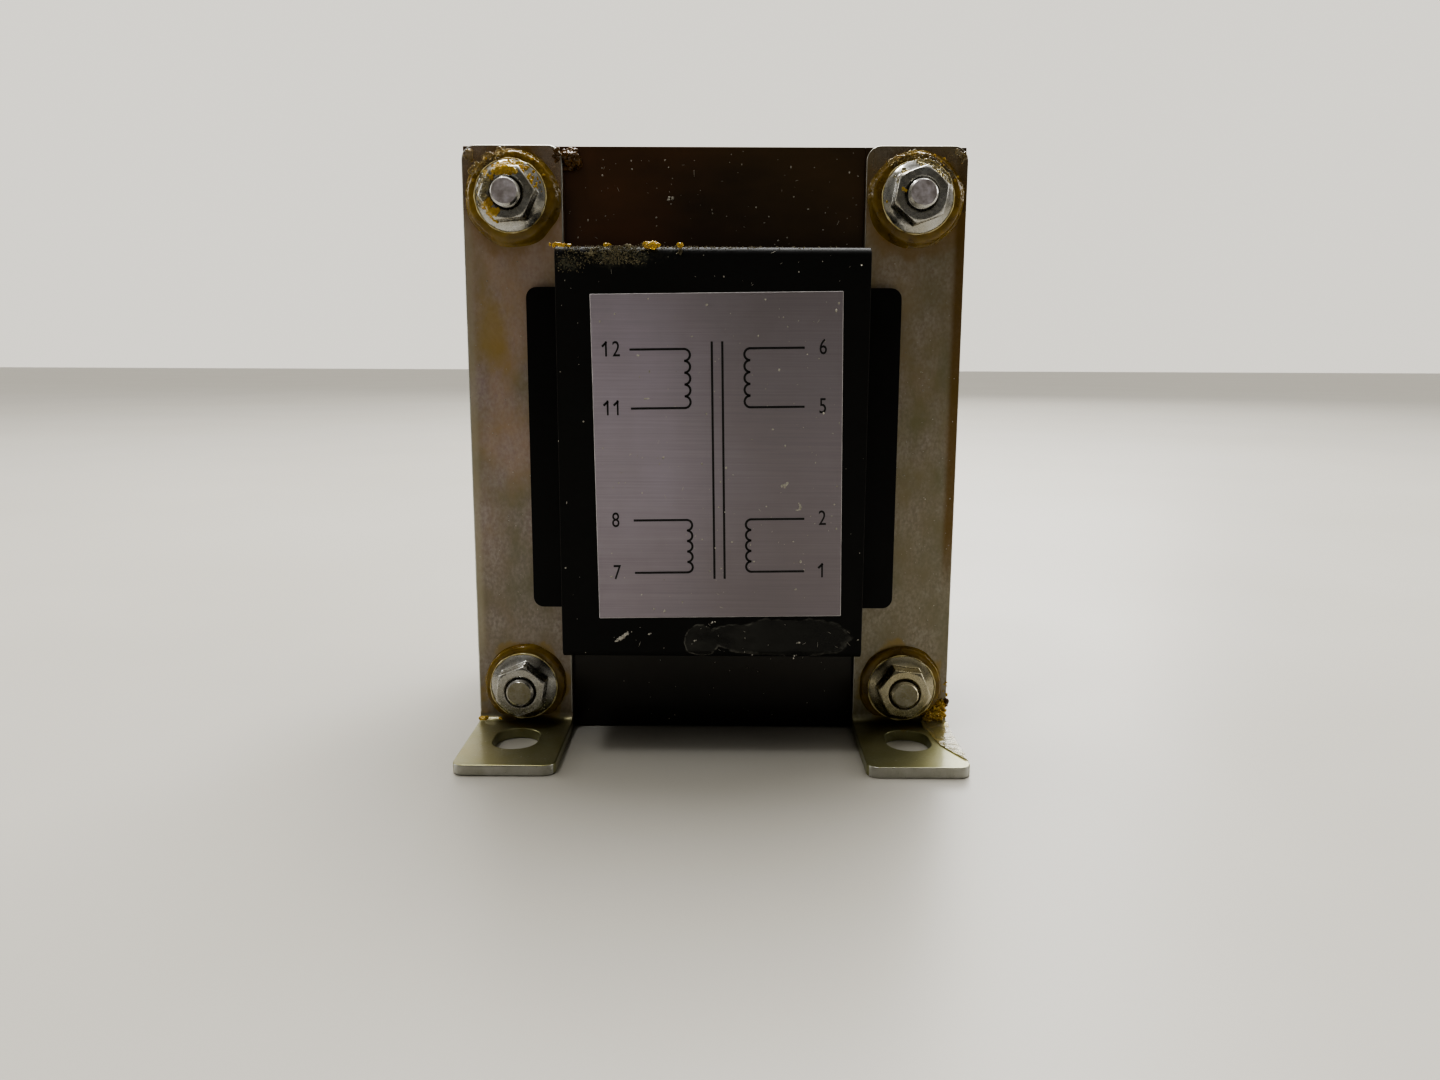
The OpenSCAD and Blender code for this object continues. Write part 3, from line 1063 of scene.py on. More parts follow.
def add_lump(
    mesh: bmesh.types.BMesh,
    place: Sequence[float],
    radii: Sequence[float],
    detail: int = 1,
    turn: float = 0.0,
    rough: Callable[[], float] = lambda: 1.0,
) -> None:
    """Adds a round or angular lump to a mesh.

    Args:
        mesh: Mesh that takes the lump.
        place: Its middle in millimetres.
        radii: Its radii along X, Y and Z in millimetres.
        detail: Subdivisions of its round shape.
        turn: Its turn about Y in radians.
        rough: Gives the share of its radius at which each corner lies.
    """
    corners, faces = round_shape(detail)
    shape = Matrix.Rotation(turn, 3, "Y") @ Matrix.Diagonal(radii)
    middle = Vector(place)
    verts = [
        mesh.verts.new((middle + shape @ (Vector(corner) * rough())) * MM) for corner in corners
    ]
    for face in faces:
        mesh.faces.new([verts[corner] for corner in face])


def join_part(mesh: bmesh.types.BMesh, part: bmesh.types.BMesh) -> None:
    """Adds a part to a larger mesh and frees the part.

    Args:
        mesh: Mesh that takes the part.
        part: Mesh to add.
    """
    data = bpy.data.meshes.new("part")
    part.to_mesh(data)
    part.free()
    mesh.from_mesh(data)
    bpy.data.meshes.remove(data)


def plain_mesh(
    data: bpy.types.Mesh | bpy.types.Curve, voxel: float | None = None
) -> bpy.types.Mesh:
    """Turns a curve, a text or loose lumps into one plain mesh and removes what it came from.

    Args:
        data: Curve, text or mesh.
        voxel: Finest detail in millimetres of the one skin that lumps are fused into.

    Returns:
        The plain mesh, which the caller removes.
    """
    holder = bpy.data.objects.new("holder", data)
    bpy.context.scene.collection.objects.link(holder)
    if voxel is not None:
        remesh = holder.modifiers.new("fuse", "REMESH")
        remesh.mode = "VOXEL"
        remesh.voxel_size = voxel * MM
    graph = bpy.context.evaluated_depsgraph_get()
    made = bpy.data.meshes.new_from_object(holder.evaluated_get(graph))
    bpy.data.objects.remove(holder)
    store = bpy.data.meshes if isinstance(data, bpy.types.Mesh) else bpy.data.curves
    store.remove(data)
    return made


def spin_round(
    mesh: bmesh.types.BMesh, section: Sequence[Any], x: float, z: float, steps: int
) -> None:
    """Spins a section all the way round an axis along Y and closes the ring.

    Args:
        mesh: Mesh that holds the section.
        section: The section's vertices and edges.
        x: Place of the axis in X, in millimetres.
        z: Place of the axis in Z.
        steps: Faces round the ring.
    """
    bmesh.ops.spin(
        mesh,
        geom=section,
        cent=Vector((x, 0, z)) * MM,
        axis=(0, 1, 0),
        angle=2 * math.pi,
        steps=steps,
        use_merge=True,
        use_duplicate=False,
    )


class Workshop:
    """Turns bmeshes into finished pieces and keeps the frame's nodes at hand."""

    def __init__(self, frame: dict[str, Any]) -> None:
        """Takes the loaded frame.
        """
        self.frame = frame
        self.paints = Paints()

    def copy_of(self, node: str) -> bmesh.types.BMesh:
        """A merged copy of a CAD node's mesh, with its flat faces made whole.

        Args:
            node: Name of the CAD node.

        Returns:
            A bmesh whose faces are the solid's own faces.
        """
        mesh = bmesh.new()
        mesh.from_mesh(self.frame["nodes"][node].data)
        bmesh.ops.remove_doubles(mesh, verts=mesh.verts[:], dist=0.002 * MM)
        bmesh.ops.dissolve_limit(
            mesh, angle_limit=math.radians(0.3), verts=mesh.verts[:], edges=mesh.edges[:]
        )
        return mesh

    @staticmethod
    def round_edges(
        mesh: bmesh.types.BMesh,
        radius: float,
        sharper_than: float = 30,
        segments: int = 2,
    ) -> None:
        """Rounds the sharp edges of a mesh.

        Args:
            mesh: Mesh to work on.
            radius: Width of the rounding in millimetres.
            sharper_than: Smallest angle between two faces, in degrees, that counts as sharp.
            segments: Faces across the rounding.
        """
        limit = math.radians(sharper_than)
        edges = [
            edge
            for edge in mesh.edges
            if len(edge.link_faces) == 2 and edge.calc_face_angle() > limit
        ]
        bmesh.ops.bevel(
            mesh,
            geom=edges,
            offset=radius * MM,
            offset_type="OFFSET",
            segments=segments,
            profile=0.5,
            affect="EDGES",
            clamp_overlap=True,
            material=-1,
        )

    def finish(
        self,
        name: str,
        mesh: bmesh.types.BMesh,
        *finishes: Finish,
        replaces: Sequence[str] = (),
        smooth: float = 32,
        level: bool = False,
    ) -> bpy.types.Object:
        """Makes a bmesh a finished piece of the transformer.

        Args:
            name: Name of the piece.
            mesh: Its mesh, in metres and in place. It is freed.
            finishes: Its finishes, in the order of its faces' material numbers.
            replaces: CAD nodes that the piece stands for.
            smooth: Angle in degrees below which edges are shaded smooth.
            level: Whether large flat faces keep an even shade beside their rounded edges.

        Returns:
            The new object.
        """
        for face in mesh.faces:
            face.smooth = True
        limit = math.radians(smooth)
        for edge in mesh.edges:
            edge.smooth = len(edge.link_faces) == 2 and edge.calc_face_angle(0) < limit
        data = bpy.data.meshes.new(name)
        mesh.to_mesh(data)
        mesh.free()
        for finish in finishes:
            data.materials.append(self.paints.get(finish))
        piece = bpy.data.objects.new(name, data)
        bpy.context.scene.collection.objects.link(piece)
        if level:
            piece.modifiers.new("level_faces", "WEIGHTED_NORMAL").keep_sharp = True
        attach(piece, BODY)
        if replaces:
            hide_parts(*replaces)
        log.info("%s: %d faces", name, len(data.polygons))
        return piece

    @staticmethod
    def fuse(
        lumps: Iterable[Lump], voxel: float, ripple: float = 0.0, ripple_size: float = 1.0
    ) -> bmesh.types.BMesh:
        """Fuses round lumps into one blob, as drops run together.

        Args:
            lumps: Pairs of a lump's middle and its three radii, in millimetres.
            voxel: Finest detail of the blob in millimetres.
            ripple: Height of the unevenness that is laid on it.
            ripple_size: Width of that unevenness.

        Returns:
            A closed bmesh in place.
        """
        mesh = bmesh.new()
        for middle, radii in lumps:
            add_lump(mesh, middle, radii, detail=3 if max(radii) > 5 * voxel else 2)
        data = bpy.data.meshes.new("lumps")
        mesh.to_mesh(data)
        fused = plain_mesh(data, voxel)
        mesh.clear()
        mesh.from_mesh(fused)
        bpy.data.meshes.remove(fused)
        bmesh.ops.smooth_vert(
            mesh,
            verts=mesh.verts[:],
            factor=0.5,
            use_axis_x=True,
            use_axis_y=True,
            use_axis_z=True,
        )
        mesh.normal_update()
        for vert in mesh.verts:
            vert.co += vert.normal * ripple * MM * noise.noise(vert.co / (ripple_size * MM))
        return mesh

    def dress(self, finish: Finish, *nodes: str) -> None:
        """Gives CAD nodes that stay as they are their finish.

        Args:
            finish: Their finish.
            nodes: Names of the CAD nodes.
        """
        material = self.paints.get(finish)
        for node in nodes:
            solid = self.frame["nodes"][node]
            if not solid.data.materials:
                solid.data.materials.append(None)
            for index, face_slot in enumerate(solid.material_slots):
                solid.data.materials[index] = material
                face_slot.material = material
            log.info("%s keeps its solid shape", node)


# ---- Sub-assemblies ----


@dataclass
class LaminatedCore:
    """The stack of E and I sheets; its sheets are real solids, so they only get their finish."""

    steel: VarnishedSteel = VarnishedSteel()

    def build(self, shop: Workshop) -> None:
        """Dresses the sheets."""
        shop.dress(self.steel, "e_laminations", "i_laminations")


@dataclass
class FootBrackets:
    """Four bent and slotted feet of plated strip."""

    edge_round: float = 0.22
    foot_tip: float = 37.8775
    tip_reach: float = 2.0
    top_reach: float = 3.0
    plate: SatinZinc = SatinZinc()
    edge: ShearedZinc = ShearedZinc()

    def build(self, shop: Workshop) -> None:
        """Rounds the strip's edges, shows its cut edge bare and paints its rounded edges bright as
        painted highlights.

        Args:
            shop: Workshop that finishes the pieces.
        """
        for face in ("front", "back"):
            for side in ("left", "right"):
                node = f"bracket_{face}_{side}"
                mesh = shop.copy_of(node)
                self.mark_cut_edges(mesh)
                shop.round_edges(mesh, self.edge_round, segments=3)
                # Painted highlights: the rounded edges get the bright bare metal.
                self.mark_worn_edges(mesh)
                shop.finish(
                    f"{node}_strip", mesh, self.plate, self.edge, replaces=[node], level=True
                )

    def mark_cut_edges(self, mesh: bmesh.types.BMesh) -> None:
        """Gives the strip's cut end at the foot's tip the bare finish.

        Args:
            mesh: Mesh of one bracket.
        """
        for face in mesh.faces:
            reach = abs(face.calc_center_median().y)
            if abs(face.normal.y) > 0.5 and reach > (self.foot_tip - self.tip_reach) * MM:
                face.material_index = 1

    def mark_worn_edges(self, mesh: bmesh.types.BMesh) -> None:
        """Paints the rounded edges up the strip and over its top in bare bright metal, as painted
        highlights.

        Args:
            mesh: Mesh of one bracket.
        """
        mesh.normal_update()
        for face in mesh.faces:
            x, y, z = (abs(part) for part in face.normal)
            height = face.calc_center_median().z / MM
            upright = min(x, y) > 0.15 and z < 0.1 and height > 2 * CORE.strip
            over_top = min(y, z) > 0.15 and height > CORE.top_z - self.top_reach
            if upright or over_top:
                face.material_index = 1


@dataclass
class ClampFasteners:
    """Four clamp bolts with their flange nuts and fibre washers."""

    edge_round: float = 0.13
    washer_round: float = 0.22
    nut_height: float = 4.0
    bolt_proud: float = 1.4
    low_bolt_proud: float = 0.7
    head_height: float = 2.8
    head_rim: float = 1.0
    dish_slope: float = 0.5
    dish: float = 0.25
    thread_pitch: float = 0.7
    thread_inside: float = 1.2
    crest_radius: float = 2.0
    root_radius: float = 1.6
    crest_share: Span = (0.4, 0.6)
    end_radius: float = 1.75
    thread_steps: int = 36
    seam: float = 0.002
    zinc: BrightZinc = BrightZinc()
    sheared: BoltEnd = BoltEnd()
    fibre: AmberFibre = AmberFibre()
    paper: SleevePaper = SleevePaper()

    @property
    def nut_face(self) -> float:
        """Distance of the nuts' outer face from the middle of the core."""
        return CORE.washer_face + self.nut_height

    def build(self, shop: Workshop) -> None:
        """Rounds the fasteners' edges and cuts the threads that show.

        Args:
            shop: Workshop that finishes the pieces.
        """
        self.make_bolts(shop)
        for node, name, radius, finish in (
            ("flange_nuts", "nut_forgings", self.edge_round, self.zinc),
            ("front_washers", "front_washers_soaked", self.washer_round, self.fibre),
            ("back_washers", "back_washers_soaked", self.washer_round, self.fibre),
        ):
            mesh = shop.copy_of(node)
            shop.round_edges(mesh, radius)
            shop.finish(name, mesh, finish, replaces=[node], level=True)
        shop.dress(self.paper, "bolt_sleeves")

    def make_bolts(self, shop: Workshop) -> None:
        """Gives the plain bolts dished heads and threaded ends.

        Args:
            shop: Workshop that finishes the pieces.
        """
        bolts = shop.copy_of("clamp_bolts")
        self.cut_off(bolts, -(self.nut_face - self.thread_inside), -1)
        bmesh.ops.holes_fill(bolts, edges=[e for e in bolts.edges if e.is_boundary])
        top = (CORE.washer_face + self.head_height) * MM
        heads = [
            face
            for face in bolts.faces
            if face.normal.y > 0.9 and abs(face.calc_center_median().y - top) < 0.01 * MM
        ]
        for head in heads:
            for width, depth in ((self.head_rim, 0), (self.dish_slope, -self.dish)):
                bmesh.ops.inset_region(
                    bolts, faces=[head], thickness=width * MM, depth=depth * MM
                )
        shop.round_edges(bolts, self.edge_round)
        for side, level in BOLTS:
            proud = self.bolt_proud if level > 0 else self.low_bolt_proud
            self.cut_thread(bolts, *CORE.bolt_at(side, level), proud)
        ends = -(self.nut_face + self.low_bolt_proud / 2) * MM
        for face in bolts.faces:
            sheared = face.normal.y < -0.9 and face.calc_center_median().y < ends
            face.material_index = int(sheared)
        shop.finish(
            "bolt_forgings", bolts, self.zinc, self.sheared, replaces=["clamp_bolts"], level=True
        )

    @staticmethod
    def cut_off(mesh: bmesh.types.BMesh, y: float, outwards: int) -> None:
        """Cuts a mesh across at a place in Y.

        Args:
            mesh: Mesh to cut.
            y: Place of the cut in millimetres.
            outwards: Direction in Y of the part that goes, 1 or -1.
        """
        bmesh.ops.bisect_plane(
            mesh,
            geom=mesh.verts[:] + mesh.edges[:] + mesh.faces[:],
            plane_co=(0, y * MM, 0),
            plane_no=(0, outwards, 0),
            clear_outer=True,
        )

    def cut_thread(self, bolts: bmesh.types.BMesh, x: float, z: float, proud: float) -> None:
        """Adds the threaded end of one bolt.

        Args:
            bolts: Mesh that takes the thread.
            x: Place of the bolt's axis across the face, in millimetres.
            z: Place of the bolt's axis above the mounting surface.
            proud: How far the bolt's end stands out of its nut.
        """
        start = self.nut_face - self.thread_inside
        end = self.nut_face + proud
        pitch = self.thread_pitch
        rise, fall = self.crest_share
        thread = bmesh.new()
        verts = [
            thread.verts.new(Vector((x + radius, -(start - pitch + part * pitch), z)) * MM)
            for part, radius in (
                (0, self.root_radius),
                (rise, self.crest_radius),
                (fall, self.crest_radius),
                (1, self.root_radius),
            )
        ]
        edges = [thread.edges.new(pair) for pair in zip(verts, verts[1:])]
        turns = math.ceil((end - start) / pitch) + 2
        bmesh.ops.spin(
            thread,
            geom=verts + edges,
            cent=Vector((x, 0, z)) * MM,
            axis=(0, -1, 0),
            dvec=(0, -pitch * MM / self.thread_steps, 0),
            angle=2 * math.pi * turns,
            steps=turns * self.thread_steps,
            use_duplicate=False,
        )
        bmesh.ops.remove_doubles(thread, verts=thread.verts[:], dist=self.seam * MM)
        self.cut_off(thread, -start, 1)
        self.cut_off(thread, -end, -1)
        bmesh.ops.remove_doubles(thread, verts=thread.verts[:], dist=self.seam * MM)
        bmesh.ops.holes_fill(thread, edges=[e for e in thread.edges if e.is_boundary])
        axis = Vector((x, 0, z)) * MM
        for vert in thread.verts:
            reach = Vector((vert.co.x - axis.x, 0, vert.co.z - axis.z))
            limit = (self.end_radius + (end + vert.co.y / MM)) * MM
            if reach.length > limit > 0:
                vert.co.x = axis.x + reach.x * limit / reach.length
                vert.co.z = axis.z + reach.z * limit / reach.length
        bmesh.ops.recalc_face_normals(thread, faces=thread.faces[:])
        join_part(bolts, thread)


@dataclass(frozen=True)
class GlazePatch:
    """A part of an upper nut that varnish glazes over.

    Angles are in degrees, from the right and upwards; radii lie round the nut's middle.
    """

    side: int
    count: int
    angles: Span
    radii: Span
    sizes: Span


@dataclass
class VarnishRuns:
    """What the varnish bath left on the outside: rims, glazes, crusts, drops and a flake."""

    # Rims round the washers: radius and height over the strip along their section.
    rim_profile: tuple[Span, ...] = (
        (4.9, 0.1),
        (4.9, 1.1),
        (5.1, 1.05),
        (5.5, 1.0),
        (5.85, 0.95),
        (6.05, 0.8),
        (6.2, 0.45),
        (6.33, 0.16),
        (6.45, 0.03),
        (6.5, -0.1),
    )
    rim_steps: int = 96
    rim_starts: float = 5.9
    rim_ends: float = 6.5
    rim_wave: float = 2.6
    upper_spread: Span = (0.07, 0.0)
    lower_spread: Span = (0.02, 0.055)
    strip_half: float = 7.02
    flat_below: float = 4.6
    seam: float = 0.001

    # Beads round the nuts' flanges.
    flange_edge: float = 5.03
    flange_height: float = 0.82
    bead_radius: float = 0.075
    bead_sides: int = 10
    bead_ripple: float = 0.12
    bead_ripple_size: float = 1.3

    # Glazes on the upper nuts.
    nut_height: float = 4.0
    hex_radius: float = 3.3
    hex_slope: float = 1.0
    yellow_glaze: tuple[GlazePatch, ...] = (
        GlazePatch(-1, 130, (62, 142), (2.6, 4.6), (0.2, 0.45)),
        GlazePatch(-1, 46, (194, 250), (2.5, 4.1), (0.18, 0.4)),
        GlazePatch(-1, 40, (5, 60), (3.4, 4.7), (0.12, 0.26)),
        GlazePatch(-1, 12, (20, 160), (5.2, 6.2), (0.14, 0.3)),
        GlazePatch(1, 7, (162, 172), (2.3, 2.8), (0.14, 0.26)),
        GlazePatch(1, 7, (186, 196), (4.3, 4.7), (0.12, 0.24)),
        GlazePatch(1, 8, (20, 70), (5.4, 6.4), (0.12, 0.24)),
    )
    clear_glaze: tuple[GlazePatch, ...] = (
        GlazePatch(-1, 70, (140, 200), (2.7, 4.7), (0.25, 0.5)),
        GlazePatch(-1, 50, (95, 150), (5.3, 6.6), (0.2, 0.5)),
        GlazePatch(1, 130, (24, 92), (3.6, 5.7), (0.25, 0.5)),
        GlazePatch(1, 12, (120, 150), (3.4, 4.4), (0.2, 0.4)),
        GlazePatch(1, 40, (92, 132), (5.3, 6.4), (0.2, 0.45)),
    )
    corner_runs: int = 9

    # Blob on the core: middle in X and Z and its half sizes.
    blob_at: Span = (-20.5, 84.3)
    blob_half: Span = (1.55, 1.35)
    blob_dome: float = 1.3
    blob_lumps: int = 48
    blob_smears: int = 7

    # Grit and drops along the wrap's top edge. Heaps: middle in X, reach to each side, reach
    # downwards and count. Clumps: X, Z and size. Drops: X and size.
    grit_heaps: tuple[tuple[float, float, float, int], ...] = (
        (-12.8, 4.6, 2.3, 760),
        (-18.6, 2.2, 3.4, 150),
        (-1.0, 19.0, 0.3, 150),
    )
    grit_clumps: tuple[Point, ...] = (
        (-15.9, 70.2, 0.75),
        (-11.1, 70.9, 0.7),
        (-9.4, 71.2, 0.35),
        (-4.2, 70.3, 0.5),
    )
    grit_clump_size: int = 22
    edge_drops: tuple[Span, ...] = (
        (-8.6, 0.5),
        (-7.9, 0.55),
        (-7.3, 0.35),
        (-4.3, 0.38),
        (-14.0, 0.28),
        (-13.6, 0.2),
    )
    corner_drops: int = 16

    # Flakes on the wrap's lower band: X, Z, spread and count.
    flake_spots: tuple[tuple[float, float, float, int], ...] = (
        (-12.4, 18.3, 0.42, 74),
        (-8.7, 18.7, 0.14, 5),
        (-2.2, 17.8, 0.15, 4),
        (0.0, 20.3, 0.25, 7),
        (12.2, 17.6, 0.2, 6),
        (11.7, 15.7, 0.25, 6),
    )

    # Resin at the feet's bends. Left beads: X, spread, count and size. In the dark bead, a
    # middle's second number is its distance outwards from the strip's face.
    bend_z: float = 1.9
    heap_x: float = 33.6
    heap_drops: int = 60
    heap_crystals: int = 130
    right_edge: float = 35.6
    right_edge_beads: int = 14
    left_beads: tuple[tuple[float, float, int, float], ...] = (
        (-35.2, 0.5, 16, 0.3),
        (-32.4, 0.35, 6, 0.2),
        (-30.3, 0.2, 3, 0.15),
    )
    edge_bead: tuple[Lump, ...] = (
        ((35.75, 0.1, 4.9), (0.42, 0.4, 0.5)),
        ((35.8, -0.2, 4.3), (0.3, 0.3, 0.4)),
    )

    # Curled flake on the right foot.
    flake_left: float = 31.6
    flake_right: float = 35.75
    flake_start: float = 1.5
    flake_length: float = 14.4
    flake_thick: float = 0.14
    flake_gap: float = 0.05

    resin: BakedResin = BakedResin()
    dark_resin: BakedResin = BakedResin(
        "dark_baked_varnish", "fibre", "#8a6428", "#3c260a", 1.2, 0.35
    )
    yellow_resin: BakedResin = BakedResin(
        "yellow_varnish_crystals", "fibre", "#efd468", "#cf9f34", 0.9, 0.5
    )
    crushed_resin: BakedResin = BakedResin(
        "crushed_yellow_varnish", "fibre", "#ecd070", "#c79a34", 0.9, 0.28
    )
    clear_resin: BakedResin = BakedResin(
        "clear_varnish_glaze", "fibre", "#efe8cc", "#d8c890", 1.5, 0.9
    )
    milky: BakedResin = BakedResin(
        "milky_varnish_flake", "fibre", "#dcd5ae", "#c4b67c", 2.0, 0.85
    )
    # Pale and opaque: a painted highlight on the real varnish bead along each nut's flange edge.
    bead: BakedResin = BakedResin(
        "varnish_bead_painted_highlight", "fibre", "#f3ebc4", "#cdbb7a", 1.0, 0.0
    )
    crumb: DustCrumb = DustCrumb()
    flake: DustCrumb = DustCrumb("pale_dust_flake", "fibre", "#a8a49a", "#e2dfd6")
    seed: int = 12
    dice: random.Random = field(init=False)

    def __post_init__(self) -> None:
        """Seeds the dice, so that each run gives the same drops."""
        self.dice = random.Random(self.seed)

    def build(self, shop: Workshop) -> None:
        """Makes the rims first, then the lumps that sit on them.

        Args:
            shop: Workshop that finishes the pieces.
        """
        self.pour_rims(shop)
        self.glaze_nuts(shop)
        self.drop_blob(shop)
        self.crust_wrap(shop)
        self.flake_wrap(shop)
        self.grow_crystals(shop)
        self.lay_flake(shop)

    def pour_rims(self, shop: Workshop) -> None:
        """Pours a rim of varnish round each washer and a bead along each nut's edge, pale as a
        painted highlight.

        Args:
            shop: Workshop that finishes the pieces.
        """
        for face in Face:
            rims = bmesh.new()
            for side, level in BOLTS:
                self.pour_rim(rims, face, side, level)
            bmesh.ops.recalc_face_normals(rims, faces=rims.faces[:])
            shop.finish(f"varnish_rims_{face.name.lower()}", rims, self.resin, smooth=60)
        beads = bmesh.new()
        for x, z in (CORE.bolt_at(*bolt) for bolt in BOLTS):
            start = Vector((x + self.flange_edge, -(CORE.washer_face + self.flange_height), z))
            ring = bmesh.ops.create_circle(
                beads,
                segments=self.bead_sides,
                radius=self.bead_radius * MM,
                matrix=Matrix.Translation(start * MM),
            )["verts"]
            edges = list(dict.fromkeys(edge for vert in ring for edge in vert.link_edges))
            spin_round(beads, ring + edges, x, z, self.rim_steps)
        bmesh.ops.remove_doubles(beads, verts=beads.verts[:], dist=self.seam * MM)
        bmesh.ops.recalc_face_normals(beads, faces=beads.faces[:])
        beads.normal_update()
        for vert in beads.verts:
            ripple = noise.noise(vert.co / (self.bead_ripple_size * MM))
            vert.co += vert.normal * self.bead_ripple * MM * ripple
        # The beads' pale colour is a painted highlight.
        shop.finish("varnish_beads_with_painted_highlight", beads, self.bead, smooth=60)

    def pour_rim(self, rims: bmesh.types.BMesh, face: Face, side: int, level: int) -> None:
        """Pours one rim, wider downwards and kept on the strip.

        Args:
            rims: Mesh that takes the rim.
            face: Face of the core that it is on.
            side: -1 for the left bolts, 1 for the right ones.
            level: -1 for the lower bolts, 1 for the upper ones.
        """
        x, z = CORE.bolt_at(side, level)
        rim = bmesh.new()
        verts = [
            rim.verts.new(Vector((x + radius, face.value * (CORE.strip_face + height), z)) * MM)
            for radius, height in self.rim_profile
        ]
        edges = [rim.edges.new(pair) for pair in zip(verts, verts[1:] + verts[:1])]
        spin_round(rim, verts + edges, x, z, self.rim_steps)
        bmesh.ops.remove_doubles(rim, verts=rim.verts[:], dist=self.seam * MM)
        spread, shrink = self.upper_spread if level > 0 else self.lower_spread
        seed = 3.1 * side + 7.7 * level + 5 * face.value
        for vert in rim.verts:
            dx, dz = vert.co.x / MM - x, vert.co.z / MM - z
            radius = math.hypot(dx, dz)
            outer = (radius - self.rim_starts) / (self.rim_ends - self.rim_starts)
            wave = noise.noise(Vector((dx / self.rim_wave, dz / self.rim_wave, seed)))
            lean = 0.5 * (1 - dz / radius) + 0.2 * (1 - side * dx / radius)
            grow = 1 + min(max(outer, 0), 1) * (0.04 * wave + spread * lean - shrink)
            dx = max(-self.strip_half, min(self.strip_half, dx * grow))
            dz = min(self.strip_half, dz * grow)
            if level < 0:
                dz = max(-self.flat_below, dz)
            vert.co.x, vert.co.z = (x + dx) * MM, (z + dz) * MM
        join_part(rims, rim)

    def glaze(self, patches: Iterable[GlazePatch]) -> list[Lump]:
        """Scatters flat lumps over parts of the nuts, on their flanges, flanks and tops.

        Args:
            patches: The parts to cover.

        Returns:
            The lumps, for fuse.
        """
        lumps = []
        for patch in patches:
            x, z = CORE.bolt_at(patch.side, 1)
            for _ in range(patch.count):
                angle = math.radians(self.dice.uniform(*patch.angles))
                radius = self.dice.uniform(*patch.radii)
                size = self.dice.uniform(*patch.sizes)
                slope = min(max((radius - self.hex_radius) / self.hex_slope, 0), 1)
                height = self.nut_height - slope * (self.nut_height - self.flange_height - 0.2)
                if radius > self.flange_edge:
                    height = 0.3
                place = (
                    x + radius * math.cos(angle),
                    -(CORE.washer_face + height),
                    z + radius * math.sin(angle),
                )
                lumps.append((place, (size, size * 0.5, size)))
        return lumps

    def glaze_nuts(self, shop: Workshop) -> None:
        """Leaves a yellow glaze on the upper left nut and a clear one on the upper right one.

        Args:
            shop: Workshop that finishes the pieces.
        """
        dice = self.dice
        mesh = shop.fuse(self.glaze(self.yellow_glaze), 0.09, ripple=0.12, ripple_size=0.35)
        shop.finish("yellow_glaze_on_upper_nuts", mesh, self.yellow_resin, smooth=70)
        clear = self.glaze(self.clear_glaze)
        for x, z in (CORE.bolt_at(side, 1) for side in (-1, 1)):
            for _ in range(self.corner_runs):
                place = (
                    x + math.copysign(dice.uniform(5.4, 6.7), x),
                    -(CORE.strip_face + 0.05),
                    z + dice.uniform(4.8, 6.5),
                )
                clear.append((place, (dice.uniform(0.2, 0.5), 0.25, dice.uniform(0.2, 0.5))))
        mesh = shop.fuse(clear, 0.1, ripple=0.12, ripple_size=0.5)
        shop.finish("clear_glaze_on_upper_nuts", mesh, self.clear_resin, smooth=70)

    def drop_blob(self, shop: Workshop) -> None:
        """Leaves a dark blob in the corner between the left bracket and the core's top edge.

        Args:
            shop: Workshop that finishes the pieces.
        """
        dice = self.dice
        (x, z), (wide, high) = self.blob_at, self.blob_half
        lumps = []
        for _ in range(self.blob_lumps):
            angle, reach = dice.uniform(0, 2 * math.pi), math.sqrt(dice.random())
            across = x + wide * reach * math.cos(angle)
            height = z + high * reach * math.sin(angle)
            size = dice.uniform(0.3, 0.62)
            depth = CORE.half_depth + (1 - reach) * self.blob_dome + dice.uniform(0, 0.5)
            lumps.append(((across, -depth, height), (size, size * 0.8, size)))
        for _ in range(self.blob_smears):
            place = (dice.uniform(-22.6, -21.4), -CORE.strip_face, dice.uniform(83.8, 85.6))
            lumps.append((place, (0.3, 0.3, dice.uniform(0.2, 0.45))))
        mesh = shop.fuse(lumps, 0.1, ripple=0.2, ripple_size=0.45)
        shop.finish("resin_blob_on_core", mesh, self.dark_resin, smooth=70)

    def sprinkle(
        self, mesh: bmesh.types.BMesh, place: Point, size: float, flat: float = 1.0
    ) -> None:
        """Drops one angular crumb.

        Args:
            mesh: Mesh that takes the crumb.
            place: Its middle in millimetres.
            size: Its radius in millimetres.
            flat: Its thickness along Y as a share of its width.
        """
        turn = self.dice.uniform(0, 6)
        radii = (size, size * flat, size * self.dice.uniform(0.6, 1.3))
        add_lump(mesh, place, radii, turn=turn, rough=lambda: self.dice.uniform(0.65, 1.35))

